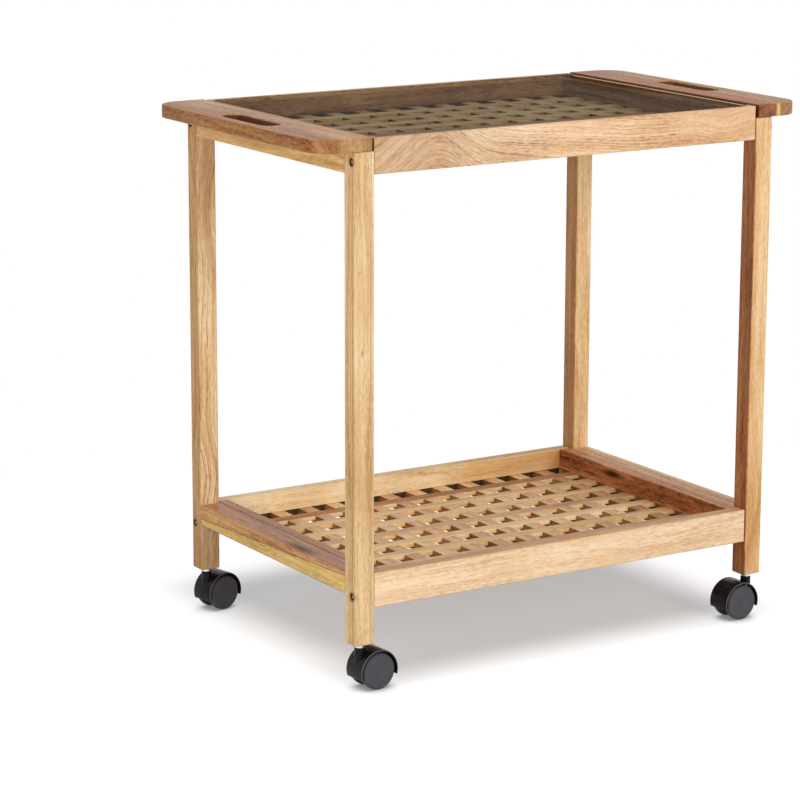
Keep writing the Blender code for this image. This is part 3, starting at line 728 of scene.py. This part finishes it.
def merged(shapes):
    """One clean mesh from several closed shapes."""
    holders = []
    for shape in shapes:
        mesh = bpy.data.meshes.new("solid")
        bmesh.ops.recalc_face_normals(shape, faces=shape.faces)
        shape.to_mesh(mesh)
        shape.free()
        holder = bpy.data.objects.new("solid", mesh)
        bpy.context.scene.collection.objects.link(holder)
        holders.append(holder)
    for other in holders[1:]:
        step = holders[0].modifiers.new("join", "BOOLEAN")
        step.operation, step.solver, step.object = "UNION", "EXACT", other
    graph = bpy.context.evaluated_depsgraph_get()
    mesh = bpy.data.meshes.new_from_object(holders[0].evaluated_get(graph))
    result = bmesh.new()
    result.from_mesh(mesh)
    for holder in holders:
        bpy.data.meshes.remove(holder.data)
    bpy.data.meshes.remove(mesh)
    return result


def upright(shape, foot):
    """Move a turned shape up to its foot."""
    bmesh.ops.translate(shape, verts=shape.verts, vec=(0, 0, foot))
    return shape


def crosswise(shape, place, facing=1):
    """Lay a turned shape along Y, its top towards the facing side."""
    matrix = Matrix.Translation(place) @ Matrix.Rotation(-facing * math.pi / 2, 4, "X")
    bmesh.ops.transform(shape, verts=shape.verts, matrix=matrix)
    return shape


def hood_shape(trail, axle):
    """The arched hood with rounded rims, its middle web, axle boss and stem boss."""
    inner = HOOD_RADIUS - HOOD_WALL
    half = arc((HOOD_RADIUS - HOOD_SHOULDER, HOOD_HALF_WIDTH - HOOD_SHOULDER), HOOD_SHOULDER,
               *HOOD_SHOULDER_ARC)
    half += [(inner + HOOD_RIM / 3, HOOD_HALF_WIDTH), (inner, HOOD_HALF_WIDTH - HOOD_RIM / 2)]
    shell = half + [(r, -y) for r, y in reversed(half)]
    start, side = HOOD_WEB
    end = HOOD_RADIUS - HOOD_WALL / 2
    web = [(start, -side), (end, -side), (end, side), (start, side)]
    height = BOSS_TOP - BOSS_FOOT
    boss = turned([(0, 0), (BOSS_RADIUS, 0), (BOSS_RADIUS, height - BOSS_EASE),
                   (BOSS_RADIUS - BOSS_EASE, height), (0, height)], BOSS_STEPS)
    hub = turned([(0, 0), (HUB_RADIUS, 0), (HUB_RADIUS, HUB_LENGTH), (0, HUB_LENGTH)], HUB_STEPS)
    return merged([*(sweep(section, (trail, axle), *HOOD_SWEEP) for section in (shell, web)),
                   upright(boss, BOSS_FOOT),
                   crosswise(upright(hub, -HUB_LENGTH / 2), (trail, 0, axle))])


def wheel_shape(radius):
    """A wheel with its axis along Z and its outer face up."""
    profile = [(r, WHEEL_FACE - depth) for r, depth in WHEEL_BUTTON]
    profile += [(radius - inset, WHEEL_FACE - depth) for inset, depth in WHEEL_LIP]
    profile += arc((radius - WHEEL_SHOULDER, WHEEL_FACE - WHEEL_SHOULDER_DROP), WHEEL_SHOULDER,
                   90, 0, WHEEL_SHOULDER_STEPS)
    profile += [(radius - inset, WHEEL_BACK + height) for inset, height in WHEEL_BACK_EDGE]
    profile += [(WHEEL_NECK, profile[-1][1]), (WHEEL_NECK, WHEEL_BACK), (0, WHEEL_BACK)]
    return turned(list(reversed(profile)), WHEEL_STEPS)


def add_casters():
    """The casters' moulded hoods and wheels, and the finish of their steel."""
    grey = wheel_plastic()
    steel = metal("bright_steel_finish", *STEM_STEEL)
    joints = {joint["name"]: Vector(joint["pos_m"]) for joint in frame["joints"]}
    for base in (f"{side}_{end}" for side in SIDES for end in ENDS):
        pivot = joints[base + "_swivel"]
        hub = joints[base + "_right_wheel_spin"]
        reach = Vector((hub.x - pivot.x, hub.y - pivot.y, 0))
        turn = Matrix.Rotation(math.atan2(reach.y, reach.x), 4, "Z")
        seat = Matrix.Translation((pivot.x, pivot.y, 0)) @ turn
        name = base + "_caster"
        hood = hood_shape(reach.length, hub.z)
        bmesh.ops.transform(hood, verts=hood.verts, matrix=seat)
        black = hood_plastic(name + "_hood_plastic", hub,
                             Vector((-reach.y, reach.x, 0)) / reach.length)
        new_piece(name + "_hood_moulded", hood, name, [name + "_hood"], black)
        for wheel_name, facing in (("right_wheel", -1), ("left_wheel", 1)):
            wheel = crosswise(wheel_shape(hub.z), (reach.length, 0, hub.z), facing)
            bmesh.ops.transform(wheel, verts=wheel.verts, matrix=seat)
            new_piece(f"{name}_{wheel_name}_moulded", wheel, f"{base}_{wheel_name}",
                      [f"{name}_{wheel_name}"], grey)
        for part in ("stem", "socket", "axle"):
            dress_cad(f"{name}_{part}", steel)


def add_fasteners():
    """Finishes of the frame bolts and of the board screws."""
    steel = metal("screw_steel", *SCREW_STEEL)
    for node in NODES:
        if node.endswith("_bolt"):
            low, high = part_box(node)
            dress_cad(node, bolt_finish(node + "_finish", (low + high) / 2))
        elif node.endswith("_screw"):
            dress_cad(node, steel)


# ---------------------------------------------------------------- the cart's woods

SLAT_TONES = {
    "pale": ((212, 176, 122), (250, 226, 174), (255, 240, 204)),
    "straw": ((200, 154, 102), (240, 204, 152), (252, 228, 188)),
    "honey": ((188, 140, 90), (232, 190, 138), (248, 218, 174)),
    "rose": ((184, 132, 95), (226, 180, 138), (244, 210, 174)),
    "tan": ((167, 121, 82), (212, 169, 128), (235, 200, 160)),
    "umber": ((153, 104, 67), (204, 155, 109), (228, 188, 143)),
    "brown": ((126, 84, 55), (182, 132, 94), (210, 167, 126)),
}
CROSS_ORDER = {
    "lower": ("brown", "honey", "tan", "honey", "rose", "tan", "honey", "honey", "straw",
              "rose", "honey", "umber"),
    "upper": ("tan", "honey", "honey", "straw", "rose", "honey", "straw", "straw", "pale",
              "straw", "pale", "straw"),
}
LONG_ORDER = {
    "lower": ("tan", "rose", "honey", "straw", "tan", "straw", "honey", "brown"),
    "upper": ("straw", "honey", "straw", "tan", "straw", "pale", "honey", "pale"),
}
# Tones of the slats' side faces: the cross slats' sides, facing along X, are darker as painted
# shade where less light falls in the holes; under the glass both kinds are darker still, as
# painted shade
SLAT_SIDE_PAINTED_SHADE = {
    "cross": ((84, 48, 22), (138, 88, 48), (178, 122, 74)),
    "long": ((206, 152, 92), (238, 192, 134), (252, 220, 174)),
    "covered_cross": ((64, 42, 24), (104, 74, 46), (138, 104, 70)),
    "covered_long": ((142, 106, 68), (186, 144, 100), (214, 174, 130)),
}
# Each tray rail's groove, darkened as painted shade: the axis and side that it faces, and its
# shade
GROOVES = {"front": ("Y", -1, (38, 24, 14)), "rear": ("Y", 1, (62, 39, 22)),
           "left": ("X", -1, (38, 24, 14)), "right": ("X", 1, (142, 82, 42))}
GROOVE_SHADE_AMOUNT = 0.95
GROOVE_SPARE = 0.0005
GROOVE_BACK = 0.0007
GROOVE_DEPTH = 0.0050
# Painted shadow round each bolt hole on a leg: its reach and its colour
BOLT_SHADOW_REACH = (0.004, 0.0082, 0.0082)
BOLT_PAINTED_SHADOW = (34, 23, 15)
# A slat's seed comes from its number, and its ring spacing and pith from its seed
SLAT_SEED = 30.0
SLAT_SEED_STEP = 1.71
SLAT_SWAY = 5.1
SLAT_DROP = 3.7
SLAT_RINGS = (0.004, 0.001)
SLAT_PITH = (0.25, 0.08, 0.03)


def groove(tray, place):
    """Painted shade in the groove of a tray rail that takes the slats' ends."""
    letter, side, shade = GROOVES[place]
    i = AXES[letter]
    low, high = (list(corner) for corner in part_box(f"{tray}_{place}_rail"))
    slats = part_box(tray + "_lattice")
    low[2], high[2] = slats[1].z - CROSS_DEPTH - GROOVE_SPARE, slats[1].z + GROOVE_SPARE
    if side > 0:
        high[i] = slats[1][i] + GROOVE_BACK
        low[i] = high[i] - GROOVE_DEPTH
    else:
        low[i] = slats[0][i] - GROOVE_BACK
        high[i] = low[i] + GROOVE_DEPTH
    return low, high, shade, GROOVE_SHADE_AMOUNT


def bolt_shadows(side_name, end_name):
    """Painted shadow round the holes that take a leg's two bolts, a dark soft ring on its face."""
    shadows = []
    for node in NODES:
        if node.startswith(f"{side_name}_{end_name}") and node.endswith("_bolt"):
            low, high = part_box(node)
            head = low.x if side_name == "left" else high.x
            shadows.append(((head, (low.y + high.y) / 2, (low.z + high.z) / 2), BOLT_SHADOW_REACH,
                            BOLT_PAINTED_SHADOW, 1.0))
    return shadows


def cart_woods():
    """The finish of each wooden piece, by its node's name or by tray, row and number."""
    made = {}

    def finish(node, **settings):
        tray, place = node.split("_")[:2]
        # A leg gets painted shadow round its bolts
        if node.endswith("_leg"):
            settings["spots"] = (*settings.get("spots", ()), *bolt_shadows(tray, place))
        # A tray rail gets painted shade in its groove
        if node == f"{tray}_{place}_rail" and tray in TRAYS:
            settings["pockets"] = (*settings.get("pockets", ()), groove(tray, place))
        made[node] = wood(node + "_wood", **settings)

    leg = dict(axis="Z", spacing=0.0042, wander=0.003, gloss=0.45)
    finish("left_front_leg", tones=((186, 144, 93), (223, 188, 139), (240, 213, 168)), seed=1.3,
           pith=(0.10, 0.35), blush=((206, 158, 108), 0.55),
           spots=(((-0.2779, -0.190, 0.473), (0.003, 0.004, 0.003), (200, 142, 76), 0.8),
                  ((-0.2750, -0.190, 0.385), (0.0014, 0.004, 0.007), (128, 88, 56), 0.8),
                  ((-0.2726, -0.190, 0.391), (0.0010, 0.004, 0.014), (176, 132, 88), 0.7)),
           lines=(("X", -0.2640, 0.0012, 0.010, (184, 138, 90), 0.55),
                  ("Y", -0.1845, 0.0010, 0.004, (128, 84, 46), 0.7)), faces=(("X", (
               (171, 129, 75), (211, 172, 118), (230, 196, 146))),), **leg)
    finish("left_rear_leg", tones=((170, 126, 78), (218, 180, 130), (243, 215, 174)), seed=2.7,
           pith=(-0.2, 0.26), tilt=(0.05, 0.0), blush=((196, 142, 92), 0.7), band=1.9, ring=0.6,
           tints=(((-0.272, 0.178, 0.060), (0.080, 0.080, 0.090), (0.82, 0.76, 0.70)),),
           swells=((0, 0.16, 0.05, 0.012), (0, 0.50, 0.06, -0.012)), faces=(("X", (
               (142, 96, 50), (184, 139, 87), (206, 167, 115))),), **leg)
    finish("right_front_leg", tones=((116, 66, 33), (162, 104, 62), (190, 134, 86)), seed=4.1,
           pith=(0.36, 0.10), second=("X", 0.2612, 0.0012, 0.004, (
               (206, 155, 101), (234, 192, 141), (250, 222, 178))),
           tints=(((0.272, -0.190, 0.070), (0.080, 0.040, 0.300), (0.87, 0.77, 0.65)),),
           **leg)
    finish("right_rear_leg", tones=((123, 78, 41), (176, 124, 78), (202, 153, 102)), seed=5.9,
           pith=(0.20, 0.0), second=("X", 0.2612, 0.0012, 0.004, (
               (212, 164, 110), (242, 204, 151), (253, 227, 184))),
           blush=((204, 150, 98), 0.5), **leg)

    rail = dict(axis="X", spacing=0.0045, gloss=0.45)
    finish("upper_front_rail", tones=((185, 140, 100), (237, 200, 162), (252, 227, 195)),
           seed=7.2, pith=(-0.12, 0.30), tilt=(0.0, -0.05), ring=0.55, wander=0.005,
           spacing=0.0030, fleck=1.6, blush=((226, 176, 128), 0.5),
           swells=((1, -0.178, 0.045, 0.036), (1, -0.262, 0.020, -0.012),
                   (1, 0.213, 0.030, -0.008)),
           tints=(((-0.265, -0.190, 0.600), (0.260, 0.040, 0.160), (0.72, 0.66, 0.61)),
                  ((0.190, -0.190, 0.600), (0.260, 0.040, 0.140), (0.87, 0.76, 0.64))),
           spots=(((0.139, -0.190, 0.5945), (0.006, 0.004, 0.0009), (150, 96, 58), 0.9),
                  ((0.205, -0.190, 0.5880), (0.014, 0.004, 0.008), (208, 150, 98), 0.5)),
           axis="X", gloss=0.45)
    finish("upper_rear_rail", tones=((150, 110, 76), (212, 168, 126), (236, 200, 158)), seed=8.4,
           pith=(0.30, 0.66), band=1.8, wander=0.0015, fleck=1.8, streak=1.6,
           # The inner face is darker: painted shade under the glass
           tints=(((0.0, 0.170, 0.600), (3.0, 0.011, 0.300), (0.47, 0.40, 0.32)),), **rail)
    finish("lower_front_rail", tones=((214, 172, 130), (238, 205, 167), (250, 224, 190)),
           seed=9.6, pith=(-0.12, 0.20), ring=0.2, band=1.1, fleck=1.8, streak=0.8,
           blush=((234, 192, 146), 0.6), faces=(("Z", (
               (184, 136, 92), (208, 162, 118), (222, 182, 140))),), **rail)
    finish("lower_rear_rail", tones=((207, 166, 115), (243, 217, 171), (253, 235, 200)),
           seed=10.1, pith=(0.30, 0.16), blush=((220, 170, 110), 0.4),
           tints=(((0.200, 0.174, 0.115), (0.260, 0.040, 0.090), (0.82, 0.66, 0.48)),),
           spots=(((0.245, 0.174, 0.121), (0.030, 0.004, 0.02), (206, 140, 80), 0.6),), **rail)

    cross_rail = dict(axis="Y", spacing=0.0042, gloss=0.42)
    finish("lower_left_rail", tones=((128, 84, 54), (183, 136, 96), (210, 166, 126)), seed=11.3,
           pith=(-0.20, 0.15), blush=((166, 112, 82), 0.5),
           # Dark lines along its top: painted shade of the seam beside the end rail, and a second,
           # fainter line
           lines=(("X", -0.2570, 0.0016, 0.0015, (84, 50, 32), 0.95),
                  ("X", -0.2490, 0.0009, 0.0015, (120, 78, 52), 0.7)), **cross_rail)
    finish("upper_left_rail", tones=((150, 104, 66), (196, 150, 106), (220, 178, 136)),
           seed=13.2, pith=(-0.1, 0.15), **cross_rail)
    finish("lower_right_rail", tones=((112, 62, 31), (199, 139, 92), (226, 175, 126)),
           seed=15.1, pith=(0.05, 0.15), blush=((176, 118, 82), 0.5), faces=(("X", (
               (72, 30, 11), (164, 96, 54), (206, 138, 88))),),
           spots=(((0.2435, 0.056, 0.127), (0.004, 0.034, 0.008), (38, 18, 9), 1.0),
                  ((0.2435, 0.100, 0.118), (0.004, 0.020, 0.004), (70, 36, 18), 0.7)),
           **cross_rail)
    # Its faces along X take darker tones: painted shade on the inner face under the glass
    finish("upper_right_rail", tones=((120, 72, 44), (182, 132, 90), (214, 166, 118)),
           seed=17.0, pith=(-0.1, 0.25), second=("X", 0.2540, 0.0008, 0.001, (
               (204, 150, 82), (232, 184, 114), (246, 206, 142))), faces=(("X", (
                   (84, 56, 36), (144, 108, 76), (184, 144, 102))),), **cross_rail)

    finish("left_lower_end_rail", tones=((178, 136, 64), (214, 176, 102), (236, 205, 136)),
           seed=19.3, pith=(-0.40, 0.02), lean=0.039, second=("Z", 0.1253, 0.0004, 0.008, (
               (140, 88, 46), (196, 142, 86), (224, 178, 116))),
           lines=(("Z", 0.1252, 0.0010, 0.008, (112, 66, 36), 0.9),),
           faces=(("Z", ((142, 92, 66), (183, 135, 102), (206, 160, 126))),),
           spots=(((-0.277, -0.060, 0.1350), (0.012, 0.046, 0.003), (76, 42, 32), 1.0),
                  ((-0.284, -0.057, 0.1268), (0.004, 0.004, 0.003), (140, 84, 46), 0.8)),
           **cross_rail)
    finish("left_upper_end_rail", tones=((152, 103, 51), (214, 170, 105), (245, 206, 138)),
           seed=20.9, pith=(-0.36, 0.52), blush=((184, 130, 78), 0.5), **cross_rail)
    finish("right_lower_end_rail", tones=((162, 106, 68), (219, 167, 120), (244, 203, 158)),
           seed=21.7, pith=(0.40, 0.02),
           lines=(("X", 0.2790, 0.0022, 0.003, (255, 234, 184), 1.0),
                  ("X", 0.2680, 0.0012, 0.006, (128, 78, 52), 0.8)), **cross_rail)
    finish("right_upper_end_rail", tones=((150, 102, 62), (198, 150, 102), (224, 180, 128)),
           seed=22.9, pith=(0.36, 0.52), **cross_rail)

    board = dict(axis="Y", spacing=0.0030, gloss=0.42)
    finish("left_handle_board", tones=((115, 64, 30), (165, 112, 65), (192, 143, 94)),
           seed=24.3, pith=(-0.37, 0.600), tilt=(0.03, 0.0), fleck=1.7, band=1.4, ring=0.8,
           second=("X", -0.302, 0.012, 0.006, (
               (139, 87, 48), (195, 144, 95), (222, 177, 126))),
           blush=((182, 122, 84), 0.4), faces=(("X", (
               (94, 48, 16), (142, 90, 43), (171, 120, 67))),),
           # The slot's walls are darker: painted shade
           pockets=(((-0.3175, -0.0545, 0.6045), (-0.2915, 0.0545, 0.6188), (82, 42, 25), 0.9),),
           **board)
    finish("right_handle_board", tones=((113, 54, 26), (179, 105, 61), (212, 144, 89)),
           seed=25.8, pith=(0.24, 0.72), fleck=1.6, band=1.6, lean=-0.035,
           second=("X", 0.2990, 0.0040, 0.006, ((142, 96, 56), (187, 137, 88), (215, 171, 124))),
           tints=(((0.276, -0.190, 0.612), (0.024, 0.004, 0.030), (0.78, 0.88, 1.40)),),
           spots=(((0.2925, -0.190, 0.612), (0.0048, 0.0030, 0.020), (255, 214, 134), 1.0),),
           # A band at the inner edge, painted shadow of the gap beside the rail, and the slot's
           # walls, painted shade
           pockets=(((0.2500, -0.2000, 0.6000), (0.2642, 0.2000, 0.6210), (78, 40, 26), 0.8),
                    ((0.2915, -0.0545, 0.6045), (0.3175, 0.0545, 0.6188), (104, 56, 32), 0.85),),
           **board)

    seed = SLAT_SEED
    for tray in TRAYS:
        for kind, order, axis, side in (("cross", CROSS_ORDER[tray], "Y", "X"),
                                        ("long", LONG_ORDER[tray], "X", "Y")):
            # The slats' sides take painted shade, darker still under the glass
            side_shade = SLAT_SIDE_PAINTED_SHADE["covered_" + kind if tray == "upper" else kind]
            for i, tone in enumerate(order):
                seed += SLAT_SEED_STEP
                sway, drop = math.sin(seed * SLAT_SWAY), math.cos(seed * SLAT_DROP)
                made[tray, kind, i] = wood(
                    f"{tray}_{kind}_slat_{i + 1}_wood", axis=axis, tones=SLAT_TONES[tone],
                    seed=seed, spacing=SLAT_RINGS[0] + SLAT_RINGS[1] * sway, band=1.2,
                    pith=(SLAT_PITH[0] * sway, SLAT_PITH[1] + SLAT_PITH[2] * drop),
                    faces=((side, side_shade),))
    return made


# ---------------------------------------------------------------- light, floor and camera

LENS = 135.478
SENSOR_WIDTH = 36
VIEW_DEPTH = 60
CAMERA_PLACE = (-1.929558, -2.919530, 1.066420)
CAMERA_YAW = math.radians(-31.961)
CAMERA_PITCH = math.radians(-12.477)
CAMERA_ROLL = math.radians(0.131)
CAMERA_SHIFT = (0.0, -0.03)
# Each lamp's place, the place it looks at, its size and its power
KEY_LAMP = ((0.68, -7.0, 2.90), (0.0, 0.0, 0.30), (3.6, 2.7), 268)
LEFT_FILL_LAMP = ((-1.55, -0.55, 0.75), (-0.1, 0.0, 0.35), (0.9, 0.9), 9)
WORLD_LIGHT = 0.45
FLOOR_REACH = 12.0
FLOOR_NEAR = 0.55
FLOOR_FAR = 0.95
FLOOR_GAIN = 0.5
FLOOR_GLOW = 0.75
FLOOR_TONE = 0.8
# The painted shadow under the cart: its middle and half its size
SHADE_X = (0.020, 0.268)
SHADE_Y = (0.060, 0.228)
SHADE_SOFTNESS = 0.055
SHADE_DEPTH = 0.465
CONTACT_REACH = 0.034
CONTACT_OPEN = (0.25, 0.92)
CONTACT_DEPTH = 0.75


def add_camera():
    """The camera, fitted to the cart's corners."""
    data = bpy.data.cameras.new("camera")
    data.lens = LENS
    data.sensor_width = SENSOR_WIDTH
    data.shift_x, data.shift_y = CAMERA_SHIFT
    data.clip_end = VIEW_DEPTH
    camera = bpy.data.objects.new("camera", data)
    camera.location = CAMERA_PLACE
    level = math.cos(CAMERA_PITCH)
    forward = Vector((-math.sin(CAMERA_YAW) * level, math.cos(CAMERA_YAW) * level,
                      math.sin(CAMERA_PITCH)))
    camera.rotation_mode = "QUATERNION"
    roll = Quaternion((0, 0, 1), CAMERA_ROLL)
    camera.rotation_quaternion = forward.to_track_quat("-Z", "Y") @ roll
    bpy.context.scene.collection.objects.link(camera)
    bpy.context.scene.camera = camera


def add_lamp(name, place, target, size, power, has_glare=True):
    """A flat lamp that the camera doesn't see; without glare, nothing glossy mirrors it."""
    data = bpy.data.lights.new(name, "AREA")
    data.shape = "RECTANGLE"
    data.size, data.size_y = size
    data.energy = power
    lamp = bpy.data.objects.new(name, data)
    lamp.location = place
    direction = Vector(target) - Vector(place)
    lamp.rotation_mode = "QUATERNION"
    lamp.rotation_quaternion = direction.to_track_quat("-Z", "Y")
    lamp.visible_camera = False
    lamp.visible_glossy = has_glare
    bpy.context.scene.collection.objects.link(lamp)


def shown_directly(sheet):
    """1 where the camera, a reflection or clear glass looks at a surface, else 0."""
    path = sheet.add("ShaderNodeLightPath").outputs
    seen = sheet.calc("MAXIMUM", path["Is Camera Ray"], path["Is Glossy Ray"])
    return sheet.calc("MAXIMUM", seen, path["Is Transmission Ray"])


def add_floor():
    """A wide white floor with a painted grey shadow and contact shade; the light meets it plain.
    """
    shape = bmesh.new()
    bmesh.ops.create_grid(shape, x_segments=1, y_segments=1, size=FLOOR_REACH)
    mesh = bpy.data.meshes.new("floor")
    shape.to_mesh(mesh)
    shape.free()
    floor = bpy.data.objects.new("floor", mesh)
    bpy.context.scene.collection.objects.link(floor)

    sheet = Sheet("floor_white")
    x, y, _ = sheet.split(sheet.coordinates()[0])
    lit = sheet.matt(FLOOR_GAIN)
    near = sheet.add("ShaderNodeAddShader", {0: lit.outputs[0],
                                             1: sheet.glow(FLOOR_GLOW).outputs[0]})
    far = sheet.spread(sheet.length(x, y), FLOOR_NEAR, FLOOR_FAR, smooth=True)
    # A painted shadow: a soft grey box under the cart
    shade = SHADE_DEPTH
    for value, middle, half in ((x, *SHADE_X), (y, *SHADE_Y)):
        reach = sheet.calc("ABSOLUTE", sheet.calc("SUBTRACT", value, middle))
        shade = sheet.calc("MULTIPLY", shade, sheet.spread(
            reach, half - SHADE_SOFTNESS, half + SHADE_SOFTNESS, 1.0, 0.0, smooth=True))
    openness = sheet.add("ShaderNodeAmbientOcclusion", {"Distance": CONTACT_REACH}).outputs["AO"]
    shade = sheet.calc("MAXIMUM", shade, sheet.spread(openness, *CONTACT_OPEN, CONTACT_DEPTH,
                                                      0.0, smooth=True))
    shown = sheet.blend(shade, sheet.blend(far, near, sheet.glow(1.0)), sheet.glow(0.0))
    sheet.show(sheet.blend(shown_directly(sheet), sheet.matt(FLOOR_TONE), shown))
    mesh.materials.append(sheet.owner)


def add_world():
    """A sky that looks white and gives less light than it shows."""
    sheet = Sheet("studio", is_world=True)
    bpy.context.scene.world = sheet.owner
    strength = sheet.spread(shown_directly(sheet), 0.0, 1.0, WORLD_LIGHT, 1.0)
    sheet.show(sheet.add("ShaderNodeBackground", {"Color": WHITE, "Strength": strength}))


def add_stage():
    """All that stands round the cart."""
    bpy.context.scene.view_settings.view_transform = "Standard"
    add_camera()
    add_world()
    add_floor()
    add_lamp("key", *KEY_LAMP, has_glare=False)
    add_lamp("left_fill", *LEFT_FILL_LAMP)


# ---------------------------------------------------------------- all of it

add_stage()
woods = cart_woods()
for node_name, node_finish in woods.items():
    if isinstance(node_name, str):
        dress_cad(node_name, node_finish)
add_handle_boards(woods)
add_slats(woods)
add_glass()
add_casters()
add_fasteners()
